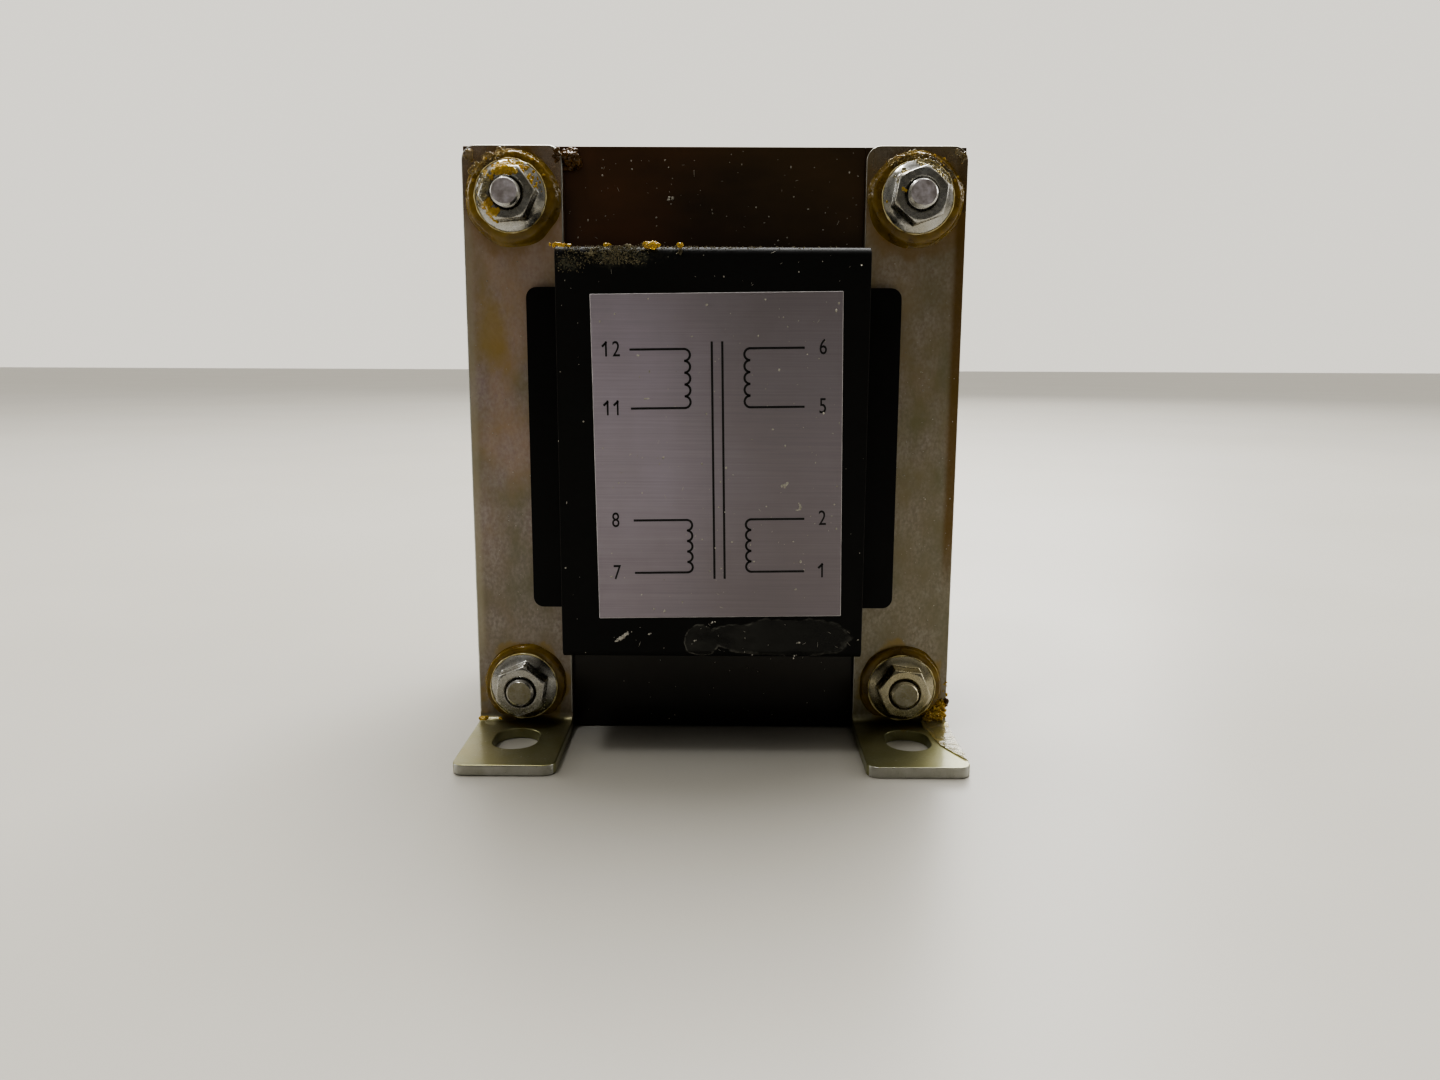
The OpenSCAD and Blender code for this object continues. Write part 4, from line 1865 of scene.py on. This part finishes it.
    def crust_wrap(self, shop: Workshop) -> None:
        """Leaves grit, crumbs and drops of varnish along the top edge of the wrap.

        Args:
            shop: Workshop that finishes the pieces.
        """
        dice, edge_y, edge_z = self.dice, CORE.cover_face, CORE.cover_top
        grit = bmesh.new()
        for middle, reach, drop, count in self.grit_heaps:
            for _ in range(count):
                x = middle + reach * dice.triangular(-1, 1, 0)
                z = edge_z - drop * dice.random() ** 1.4
                clump = 0.5 + 0.5 * noise.noise(Vector((x / 0.9, z / 0.7, 0)))
                size = dice.uniform(0.035, 0.075) + 0.07 * clump
                self.sprinkle(grit, (x, -edge_y + 0.02, z), size)
        for x, z, size in self.grit_clumps:
            for _ in range(self.grit_clump_size):
                place = (
                    x + dice.gauss(0, 0.42 * size),
                    -edge_y - dice.uniform(0, 0.25) * size,
                    z + dice.gauss(0, 0.28 * size),
                )
                self.sprinkle(grit, place, size * dice.uniform(0.16, 0.36))
        shop.finish("dusty_grit_on_wrap", grit, self.crumb, smooth=20)
        drops = [
            ((x, -edge_y + 0.1, edge_z + 0.15), (size * 1.5, size * 0.7, size))
            for x, size in self.edge_drops
        ]
        for _ in range(self.corner_drops):
            place = (
                dice.uniform(-21.6, -18.6),
                -edge_y + 0.15,
                edge_z + dice.uniform(-0.1, 0.3),
            )
            drops.append((place, (dice.uniform(0.12, 0.36), 0.25, dice.uniform(0.12, 0.3))))
        mesh = shop.fuse(drops, 0.09, ripple=0.12, ripple_size=0.3)
        shop.finish("varnish_drops_on_wrap", mesh, self.yellow_resin, smooth=70)

    def flake_wrap(self, shop: Workshop) -> None:
        """Leaves pale scratched flakes on the wrap's lower band.

        Args:
            shop: Workshop that finishes the pieces.
        """
        dice = self.dice
        flakes = bmesh.new()
        for x, z, spread, count in self.flake_spots:
            for _ in range(count):
                slide = dice.gauss(0, spread)
                height = z + 0.6 * slide + dice.gauss(0, 0.35 * spread)
                place = (x + slide, -CORE.cover_face, height)
                self.sprinkle(flakes, place, dice.uniform(0.05, 0.15), flat=0.4)
        shop.finish("pale_flakes_on_wrap", flakes, self.flake, smooth=20)

    def grow_crystals(self, shop: Workshop) -> None:
        """Piles crystals of resin at the right foot's bend and a few beads at the left one.

        Args:
            shop: Workshop that finishes the pieces.
        """
        dice, face = self.dice, CORE.strip_face
        glaze = []
        for _ in range(self.heap_drops):
            x = self.heap_x + dice.triangular(-2.2, 1.9, 0.4)
            z = self.bend_z + dice.triangular(0.0, 3.4, 0.5)
            reach = max(0.1, 1.5 - 0.7 * (z - self.bend_z))
            size = dice.uniform(0.25, 0.5)
            place = (x, -(face + reach * dice.uniform(0.4, 1.0)), z)
            glaze.append((place, (size, size * 0.8, size)))
        for _ in range(self.right_edge_beads):
            place = (self.right_edge + dice.uniform(-0.5, 0.2), -face, 4.0 + dice.uniform(0, 4.4))
            glaze.append((place, (dice.uniform(0.12, 0.25),) * 3))
        for x, spread, count, size in self.left_beads:
            for _ in range(count):
                place = (x + dice.gauss(0, spread) * 0.6, -(face + dice.uniform(0.9, 1.7)), 2.2)
                glaze.append((place, (size * dice.uniform(0.6, 1.2),) * 3))
        mesh = shop.fuse(glaze, 0.1, ripple=0.14, ripple_size=0.3)
        shop.finish("resin_glaze_at_bends", mesh, self.crushed_resin, smooth=70)
        crystals = bmesh.new()
        for _ in range(self.heap_crystals):
            x = self.heap_x + 0.3 + dice.triangular(-2.4, 1.8, 0.5)
            z = self.bend_z + 0.1 + dice.triangular(0.2, 3.8, 0.8)
            reach = max(0.2, 2.0 - 0.6 * (z - self.bend_z)) * dice.uniform(0.5, 1.05)
            self.sprinkle(crystals, (x, -(face + reach), z), dice.uniform(0.14, 0.38))
        shop.finish("resin_crystals_at_right_bend", crystals, self.crushed_resin, smooth=20)
        lumps = [((x, -(face + out), z), radii) for (x, out, z), radii in self.edge_bead]
        shop.finish(
            "dark_bead_at_right_edge", shop.fuse(lumps, 0.08), self.dark_resin, smooth=70
        )

    def lay_flake(self, shop: Workshop) -> None:
        """Lays a curled, milky flake of varnish along the right side of the right foot.

        Args:
            shop: Workshop that finishes the pieces.
        """
        flake = bmesh.new()
        bmesh.ops.create_grid(flake, x_segments=12, y_segments=26, size=0.5)
        for vert in flake.verts:
            along, across = vert.co.y + 0.5, vert.co.x + 0.5
            ragged = noise.noise(Vector((along * 4, across * 2, 1.5)))
            left = self.flake_left + 2.0 * along + 1.7 * along**3 + 0.25 * ragged
            right = self.flake_right + 0.05 * ragged
            x = left + (right - left) * across
            y = -(CORE.strip_face + self.flake_start + self.flake_length * along)
            curl = 0.5 * max(0, 0.12 - along) / 0.12 + 0.12 * (1 - across) ** 2
            z = CORE.strip + self.flake_gap + curl + 0.02 * ragged
            vert.co = Vector((x, y, z)) * MM
        bmesh.ops.solidify(flake, geom=flake.faces[:], thickness=self.flake_thick * MM)
        bmesh.ops.recalc_face_normals(flake, faces=flake.faces[:])
        shop.finish("varnish_flake_on_right_foot", flake, self.milky, smooth=50)


@dataclass
class ShopDust:
    """Specks, hairs and lint that settled on the faces, each one thin and irregular."""

    # Where specks lie: two corners of a flat area, their number and their largest radius.
    specks: tuple[tuple[Point, Point, int, float], ...] = (
        ((-21.2, -17.4775, 71.6), (21.2, -17.4775, 85.7), 93, 0.156),
        ((-21.0, -17.4775, 1.0), (21.0, -17.4775, 14.8), 33, 0.12),
        ((-35.2, -19.0775, 12.0), (-25.2, -19.0775, 78.0), 105, 0.096),
        ((25.2, -19.0775, 12.0), (35.2, -19.0775, 78.0), 135, 0.108),
        ((-20.8, -32.0775, 15.6), (20.8, -32.0775, 70.8), 135, 0.12),
        ((-15.6, -32.2275, 21.8), (17.2, -32.2275, 64.6), 165, 0.18),
        ((-26.2, -20.9, 24.0), (26.2, -20.9, 64.0), 45, 0.084),
        ((-35.4, -17.2, 86.025), (35.4, 17.2, 86.025), 135, 0.15),
        ((-35.71875, -17.2, 2.0), (-35.71875, 17.2, 85.0), 90, 0.12),
        ((35.71875, -17.2, 2.0), (35.71875, 17.2, 85.0), 90, 0.12),
        ((-20.6, 32.1775, 15.8), (7.4, 32.1775, 70.6), 60, 0.12),
        ((8.0, 32.0775, 15.6), (20.8, 32.0775, 70.8), 30, 0.12),
        ((-21.2, 17.4775, 71.6), (21.2, 17.4775, 85.7), 45, 0.132),
        ((-35.0, -36.5, 1.6), (-22.5, -22.0, 1.6), 24, 0.084),
        ((22.5, -36.5, 1.6), (35.0, -22.0, 1.6), 24, 0.084),
    )
    # Where hairs lie: two corners of a flat area and their number.
    hairs: tuple[tuple[Point, Point, int], ...] = (
        ((-15.0, -32.2275, 22.5), (16.6, -32.2275, 64.0), 34),
        ((-20.0, -32.0775, 16.0), (20.0, -32.0775, 20.5), 16),
        ((-20.0, -32.0775, 66.0), (20.0, -32.0775, 70.4), 10),
        ((-20.0, -17.4775, 72.5), (20.0, -17.4775, 85.0), 14),
    )
    lint: tuple[Point, ...] = (
        (11.9, -32.2275, 36.8),
        (9.9, -32.2275, 39.6),
        (-6.3, -17.4775, 78.9),
    )
    lint_size: float = 0.22
    lint_bits: int = 7
    smallest: float = 0.04
    hair_section: Span = (0.02, 0.03)
    dust: DustCrumb = DustCrumb("settled_pale_dust", "varnished_steel", "#8f8b80", "#d9d5ca")
    seed: int = 31

    def build(self, shop: Workshop) -> None:
        """Scatters the specks and hairs and drops the few larger bits of lint.

        Args:
            shop: Workshop that finishes the pieces.
        """
        dice = random.Random(self.seed)
        mesh = bmesh.new()
        for low, high, count, largest in self.specks:
            thin = [start == end for start, end in zip(low, high)]
            for _ in range(count):
                place = [dice.uniform(start, end) for start, end in zip(low, high)]
                size = self.smallest + (largest - self.smallest) * dice.random() ** 2
                self.drop_speck(mesh, dice, place, size, thin)
        for low, high, count in self.hairs:
            for _ in range(count):
                place = [dice.uniform(start, end) for start, end in zip(low, high)]
                length = 0.12 + 0.45 * dice.random() ** 3
                turn = dice.uniform(0, math.pi)
                add_lump(mesh, place, (length, *self.hair_section), turn=turn)
        for place in self.lint:
            for _ in range(self.lint_bits):
                off = Vector((dice.gauss(0, 0.2), 0, dice.gauss(0, 0.25)))
                size = self.lint_size * dice.uniform(0.4, 1)
                self.drop_speck(mesh, dice, Vector(place) + off, size, [False, True, False])
        shop.finish("settled_dust", mesh, self.dust, smooth=20)

    @staticmethod
    def drop_speck(
        mesh: bmesh.types.BMesh,
        dice: random.Random,
        place: Sequence[float],
        size: float,
        thin: Sequence[bool],
    ) -> None:
        """Drops one flat, ragged speck.

        Args:
            mesh: Mesh that takes the speck.
            dice: Source of its random shape.
            place: Its middle in millimetres.
            size: Its radius in millimetres.
            thin: For X, Y and Z, whether the speck is flat along that axis.
        """
        radii = [size * (0.25 if flat else dice.uniform(0.6, 1.5)) for flat in thin]
        add_lump(mesh, place, radii, rough=lambda: dice.uniform(0.7, 1.25))


@dataclass
class WoundBobbin:
    """The moulded bobbin, its windings and the wrap over them."""

    mould_round: float = 0.25
    wrap_round: float = 0.16
    tail_x: float = -6.6
    tail_width: float = 28.6
    tail_thick: float = 0.16
    tail_lift: float = 0.02
    tail_margin: float = 0.25
    tail_round: float = 0.05
    nylon: MouldedNylon = MouldedNylon()
    wrap: BlackWrap = BlackWrap()
    wire: EnamelledWire = EnamelledWire()
    tape: PolyesterTape = PolyesterTape()

    def build(self, shop: Workshop) -> None:
        """Rounds the mouldings and the wrap and dresses what is under them.

        Args:
            shop: Workshop that finishes the pieces.
        """
        for node, name, radius, finish in (
            ("bobbin", "bobbin_moulding", self.mould_round, self.nylon),
            ("coil_cover", "coil_wrap", self.wrap_round, self.wrap),
        ):
            mesh = shop.copy_of(node)
            shop.round_edges(mesh, radius)
            shop.finish(name, mesh, finish, replaces=[node], level=True)
        self.lay_tail(shop)
        shop.dress(self.wire, "primary_winding", "secondary_winding")
        shop.dress(self.tape, "primary_tape", "secondary_tape")

    def lay_tail(self, shop: Workshop) -> None:
        """Lays the wrap's last turn over its back, where it ends in a step.

        Args:
            shop: Workshop that finishes the pieces.
        """
        tail = bmesh.new()
        middle = Vector((self.tail_x, CORE.cover_face + self.tail_lift, CORE.middle_z)) * MM
        height = 2 * (CORE.cover_half_height - self.tail_margin) * MM
        bmesh.ops.create_cube(
            tail,
            size=1,
            matrix=Matrix.Translation(middle)
            @ Matrix.Diagonal((self.tail_width * MM, self.tail_thick * MM, height, 1)),
        )
        shop.round_edges(tail, self.tail_round, segments=1)
        shop.finish("wrap_tail", tail, self.wrap)


@dataclass
class FilmLabel:
    """The silver film label: terminal numbers and a plain winding diagram, nothing else."""

    middle_x: float = 0.8
    turn: float = 0.86
    film_face: float = 32.2275
    film_round: float = 0.1
    ink_height: float = 0.02
    digit_height: float = 2.9
    digit_narrowing: float = 0.78
    digit_advance: float = 1.35
    # Flag on each 1: its start across and up from the digit's middle, and its end's height.
    flag_start: Span = (-0.42, 0.52)
    flag_rise: float = 0.92
    line_width: float = 0.28
    number_x: float = 14.1
    # Left number, right number and height of each row.
    rows: tuple[tuple[int, int, float], ...] = (
        (12, 6, 14.7),
        (11, 5, 6.9),
        (8, 2, -8.3),
        (7, 1, -15.6),
    )
    lead_gap: float = 2.6
    coil_x: float = 4.4
    turns: int = 5
    turn_steps: int = 12
    core_line_x: float = 0.7
    core_line_ends: Span = (-16.4, 15.5)
    film: MetalFilm = MetalFilm()
    cut: CutFilm = CutFilm()
    ink: LabelInk = LabelInk()

    def build(self, shop: Workshop) -> None:
        """Makes the film and its print.

        Args:
            shop: Workshop that finishes the pieces.
        """
        mesh = shop.copy_of("label")
        shop.round_edges(mesh, self.film_round, segments=1)
        for face in mesh.faces:
            face.material_index = int(abs(face.normal.y) < 0.95)
        shop.finish("label_film", mesh, self.film, self.cut, replaces=["label"], smooth=10)
        ink = bmesh.new()
        for left, right, height in self.rows:
            self.print_number(ink, left, -self.number_x, height)
            self.print_number(ink, right, self.number_x, height)
        for side in (-1, 1):
            for first, last in ((0, 1), (2, 3)):
                self.print_coil(ink, side, self.rows[first][2], self.rows[last][2])
        low, high = self.core_line_ends
        for x in (-self.core_line_x, self.core_line_x):
            self.print_bar(ink, (x, low), (x, high))
        place = (
            Matrix.Translation(Vector((self.middle_x, -self.film_face, CORE.middle_z)) * MM)
            @ Matrix.Rotation(math.radians(-self.turn), 4, "Y")
            @ Matrix.Rotation(math.radians(90), 4, "X")
        )
        bmesh.ops.transform(ink, matrix=place, verts=ink.verts[:])
        bmesh.ops.recalc_face_normals(ink, faces=ink.faces[:])
        shop.finish("label_print", ink, self.ink)

    def print_number(
        self, ink: bmesh.types.BMesh, number: int, x: float, height: float
    ) -> None:
        """Prints a plain terminal number, with a flag on each 1.

        Args:
            ink: Print so far, flat in X and Y.
            number: Number to print.
            x: Middle of the number across the label, in millimetres.
            height: Middle of the number above the label's middle.
        """
        text = str(number)
        out, up = self.flag_start
        for index, digit in enumerate(text):
            place = x + (index - (len(text) - 1) / 2) * self.digit_advance
            self.print_digit(ink, digit, place, height)
            if digit == "1":
                self.print_bar(ink, (place + out, height + up), (place, height + self.flag_rise))

    def print_digit(self, ink: bmesh.types.BMesh, digit: str, x: float, height: float) -> None:
        """Prints one digit of a number, with its middle at a place on the label.

        Args:
            ink: Print so far.
            digit: Digit to print.
            x: Its middle across the label, in millimetres.
            height: Its middle above the label's middle.
        """
        curve = bpy.data.curves.new("digit", "FONT")
        curve.body = digit
        curve.size = self.digit_height * MM
        curve.align_x = "CENTER"
        curve.align_y = "CENTER"
        curve.extrude = self.ink_height * MM
        curve.resolution_u = 4
        flat = plain_mesh(curve)
        narrowed = Matrix.Diagonal((self.digit_narrowing, 1, 1, 1))
        flat.transform(Matrix.Translation(Vector((x, height, 0)) * MM) @ narrowed)
        ink.from_mesh(flat)
        bpy.data.meshes.remove(flat)

    def print_bar(self, ink: bmesh.types.BMesh, start: Span, end: Span) -> None:
        """Prints a straight line of the diagram between two places on the label.

        Args:
            ink: Print so far.
            start: X and Y of its start on the label, in millimetres.
            end: X and Y of its end.
        """
        reach = Vector(end) - Vector(start)
        middle = (Vector(end) + Vector(start)) / 2
        length, width = reach.length + self.line_width, self.line_width
        place = (
            Matrix.Translation(Vector((middle.x, middle.y, 0)) * MM)
            @ Matrix.Rotation(math.atan2(reach.y, reach.x), 4, "Z")
            @ Matrix.Diagonal((length * MM, width * MM, 2 * self.ink_height * MM, 1))
        )
        bmesh.ops.create_cube(ink, size=1, matrix=place)

    def print_coil(
        self, ink: bmesh.types.BMesh, side: int, top: float, bottom: float
    ) -> None:
        """Prints one winding: its two leads and its turns as half rounds.

        Args:
            ink: Print so far.
            side: 1 for a winding on the right, -1 on the left.
            top: Height of the upper lead, in millimetres.
            bottom: Height of the lower lead.
        """
        lead_end = side * (self.number_x - self.lead_gap)
        x = side * self.coil_x
        loop = (top - bottom) / (2 * self.turns)
        for height in (top, bottom):
            self.print_bar(ink, (x, height), (lead_end, height))
        for turn in range(self.turns):
            middle = Vector((x, top - loop * (2 * turn + 1), 0)) * MM
            start = middle + Vector((0, loop * MM, 0))
            verts = bmesh.ops.create_grid(
                ink,
                x_segments=1,
                y_segments=1,
                size=0.5,
                matrix=Matrix.Translation(start)
                @ Matrix.Rotation(math.radians(90), 4, "Y")
                @ Matrix.Diagonal((2 * self.ink_height * MM, self.line_width * MM, 1, 1)),
            )["verts"]
            faces = list(dict.fromkeys(face for vert in verts for face in vert.link_faces))
            edges = list(dict.fromkeys(edge for face in faces for edge in face.edges))
            bmesh.ops.spin(
                ink,
                geom=faces + edges + verts,
                cent=middle,
                axis=(0, 0, side),
                angle=math.pi,
                steps=self.turn_steps,
                use_duplicate=False,
            )


@dataclass
class TerminalTabs:
    """Eight quick-connect tabs on the rails, each with its lead wound round it and soldered."""

    edge_round: float = 0.12
    numbers: tuple[int, ...] = (1, 2, 5, 6, 7, 8, 11, 12)
    tab_half: float = 2.375
    tab_thick: float = 0.4
    lead_y: float = 25.2775
    lead_start: float = 19.9
    lead_end: float = 21.4
    wire_radius: float = 0.3
    wraps: float = 1.6
    wrap_pitch: float = 2.1
    wrap_steps: int = 40
    squareness: int = 4
    # Solder: shift towards the middle in X and outwards in Y, places in Z, and radii.
    solder_off: Span = (0.6, 0.4)
    solder_at: Point = (-1.1, -0.3, 0.6)
    solder_radii: Point = (0.5, 0.8, 0.7)
    tin: TinnedBrass = TinnedBrass()
    wire: EnamelledWire = EnamelledWire("enamelled_copper_lead", "enamelled_copper", 4.0)
    solder: TinnedBrass = TinnedBrass("solder_fillet")

    def build(self, shop: Workshop) -> None:
        """Rounds the tabs' edges as a stamping leaves them and winds the leads on.

        Args:
            shop: Workshop that finishes the pieces.
        """
        leads = bmesh.new()
        fillets: list[Lump] = []
        in_x, out_y = self.solder_off
        for number in self.numbers:
            node = f"terminal_{number}"
            mesh = shop.copy_of(node)
            middle = sum((vert.co for vert in mesh.verts), Vector()) / (len(mesh.verts) * MM)
            shop.round_edges(mesh, self.edge_round)
            shop.finish(f"tab_{number}", mesh, self.tin, replaces=[node], level=True)
            self.wind_lead(leads, middle)
            x = middle.x - math.copysign(1, middle.x) * in_x
            for across in self.solder_at:
                fillets.append(((x, self.lead_y + out_y, middle.z + across), self.solder_radii))
        shop.finish("coil_leads", leads, self.wire, replaces=["lead_wires"], smooth=60)
        mesh = shop.fuse(fillets, 0.12, ripple=0.06)
        shop.finish("solder_fillets", mesh, self.solder, smooth=70)

    def wind_lead(self, leads: bmesh.types.BMesh, middle: Vector) -> None:
        """Brings one lead out of the flange and winds it round its tab.

        Args:
            leads: Mesh that takes the wire.
            middle: Middle of the tab in millimetres.
        """
        side = math.copysign(1, middle.x)
        wide, narrow = self.tab_half + self.wire_radius, self.tab_thick + self.wire_radius
        points = [
            (side * x, self.lead_y, middle.z) for x in (self.lead_start, self.lead_end)
        ]
        for step in range(self.wrap_steps + 1):
            share = step / self.wrap_steps
            angle = math.pi + 2 * math.pi * self.wraps * share
            across, along = math.cos(angle), math.sin(angle)
            rounded = abs(across) ** self.squareness + abs(along) ** self.squareness
            corner = rounded ** (-1 / self.squareness)
            points.append(
                (
                    middle.x + side * narrow * across * corner,
                    self.lead_y + self.wrap_pitch * self.wire_radius * self.wraps * share,
                    middle.z + wide * along * corner,
                )
            )
        curve = bpy.data.curves.new("wire", "CURVE")
        curve.dimensions = "3D"
        curve.bevel_depth = self.wire_radius * MM
        curve.bevel_resolution = 3
        curve.use_fill_caps = True
        spline = curve.splines.new("POLY")
        spline.points.add(len(points) - 1)
        for point, place in zip(spline.points, points):
            point.co = (*(Vector(place) * MM), 1)
        tube = plain_mesh(curve)
        leads.from_mesh(tube)
        bpy.data.meshes.remove(tube)


# ---- Studio ----


@dataclass(frozen=True)
class SoftLight:
    """A square soft light: its place and size in metres and its power in watts."""

    name: str
    place: Point
    size: float
    power: float


@dataclass
class Studio:
    """Floor, lights and camera."""

    lens: float = 27.16
    sensor: float = 36.0
    nearest: float = 0.005
    place: Point = (1.727, -178.814, 57.675)
    yaw: float = -0.004415
    pitch: float = -0.173090
    roll: float = 0.004259
    floor_size: float = 3.0
    lights: tuple[SoftLight, ...] = (
        SoftLight("light_above", (0.05, 0.3, 0.75), 0.5, 6.5),
        SoftLight("light_strip", (-0.25, -0.25, 0.8), 0.12, 1.2),
        SoftLight("light_behind", (0.2, 1.0, 0.6), 0.6, 4.0),
        SoftLight("light_left", (-0.9, 0.1, 0.35), 0.4, 1.2),
        SoftLight("light_right", (0.9, 0.1, 0.35), 0.4, 1.2),
    )
    lit_point: Point = (0, 0, 0.04)
    air_colour: str = "#efebe2"
    air_towards: Point = (0, 0.9, 0.42)
    air_lean: Span = (-0.7, 0.9)
    air_glow: Span = (0.13, 0.95)
    board: StudioFloor = StudioFloor()

    def build(self, shop: Workshop) -> None:
        """Sets up the studio round the transformer.

        Args:
            shop: Workshop that finishes the pieces.
        """
        self.lay_floor(shop)
        self.hang_lights()
        self.fill_air()
        self.set_camera()

    def lay_floor(self, shop: Workshop) -> None:
        """Lays a pale floor under the object.

        Args:
            shop: Workshop that finishes the pieces.
        """
        mesh = bmesh.new()
        bmesh.ops.create_grid(mesh, x_segments=1, y_segments=1, size=self.floor_size)
        data = bpy.data.meshes.new("studio_floor")
        mesh.to_mesh(data)
        mesh.free()
        data.materials.append(shop.paints.get(self.board))
        floor = bpy.data.objects.new("studio_floor", data)
        bpy.context.scene.collection.objects.link(floor)

    def hang_lights(self) -> None:
        """Hangs a large soft light above, a narrow one for highlights and weak ones around."""
        for soft in self.lights:
            lamp = bpy.data.lights.new(soft.name, "AREA")
            lamp.shape = "SQUARE"
            lamp.size = soft.size
            lamp.energy = soft.power
            light = bpy.data.objects.new(soft.name, lamp)
            light.location = soft.place
            aim = Vector(self.lit_point) - Vector(soft.place)
            light.rotation_euler = aim.to_track_quat("-Z", "Y").to_euler()
            bpy.context.scene.collection.objects.link(light)

    def fill_air(self) -> None:
        """Gives the air a glow that is bright behind the object and dim on its label side."""
        world = bpy.data.worlds.new("studio_air")
        world.use_nodes = True
        tree = world.node_tree
        tree.nodes.clear()
        sky = add_node(tree, "ShaderNodeTexCoord")
        lean = add_node(
            tree,
            "ShaderNodeVectorMath",
            {"operation": "DOT_PRODUCT"},
            {0: sky.outputs["Generated"], 1: self.air_towards},
        )
        away, towards = self.air_lean
        dim, bright = self.air_glow
        glow = add_node(
            tree,
            "ShaderNodeMapRange",
            {"interpolation_type": "SMOOTHSTEP"},
            {
                "Value": lean.outputs["Value"],
                "From Min": away,
                "From Max": towards,
                "To Min": dim,
                "To Max": bright,
            },
        )
        air = add_node(
            tree,
            "ShaderNodeBackground",
            inputs={"Color": linear(self.air_colour), "Strength": glow.outputs["Result"]},
        )
        add_node(tree, "ShaderNodeOutputWorld", inputs={"Surface": air.outputs["Background"]})
        bpy.context.scene.world = world

    def set_camera(self) -> None:
        """Places the camera low in front of the label side and looks slightly down."""
        level = math.cos(self.pitch)
        forward = Vector(
            (math.sin(self.yaw) * level, math.cos(self.yaw) * level, math.sin(self.pitch))
        )
        right = Vector((math.cos(self.yaw), -math.sin(self.yaw), 0.0))
        up = right.cross(forward)
        turned_right = math.cos(self.roll) * right + math.sin(self.roll) * up
        turned_up = math.cos(self.roll) * up - math.sin(self.roll) * right
        camera_data = bpy.data.cameras.new("camera")
        camera_data.lens = self.lens
        camera_data.sensor_width = self.sensor
        camera_data.clip_start = self.nearest
        camera = bpy.data.objects.new("camera", camera_data)
        turn = Matrix((turned_right, turned_up, -forward)).transposed().to_4x4()
        camera.matrix_world = Matrix.Translation(Vector(self.place) * MM) @ turn
        bpy.context.scene.collection.objects.link(camera)
        bpy.context.scene.camera = camera


def main() -> None:
    """Builds every sub-assembly, then the studio."""
    logging.basicConfig(level=logging.INFO, format="%(name)s: %(message)s")
    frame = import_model()
    shop = Workshop(frame)
    for assembly in (
        LaminatedCore(),
        FootBrackets(),
        ClampFasteners(),
        VarnishRuns(),
        WoundBobbin(),
        FilmLabel(),
        TerminalTabs(),
        ShopDust(),
        Studio(),
    ):
        assembly.build(shop)
        log.info("%s is done", type(assembly).__name__)
    bpy.context.scene.view_settings.look = "AgX - High Contrast"


if __name__ == "__main__":
    main()
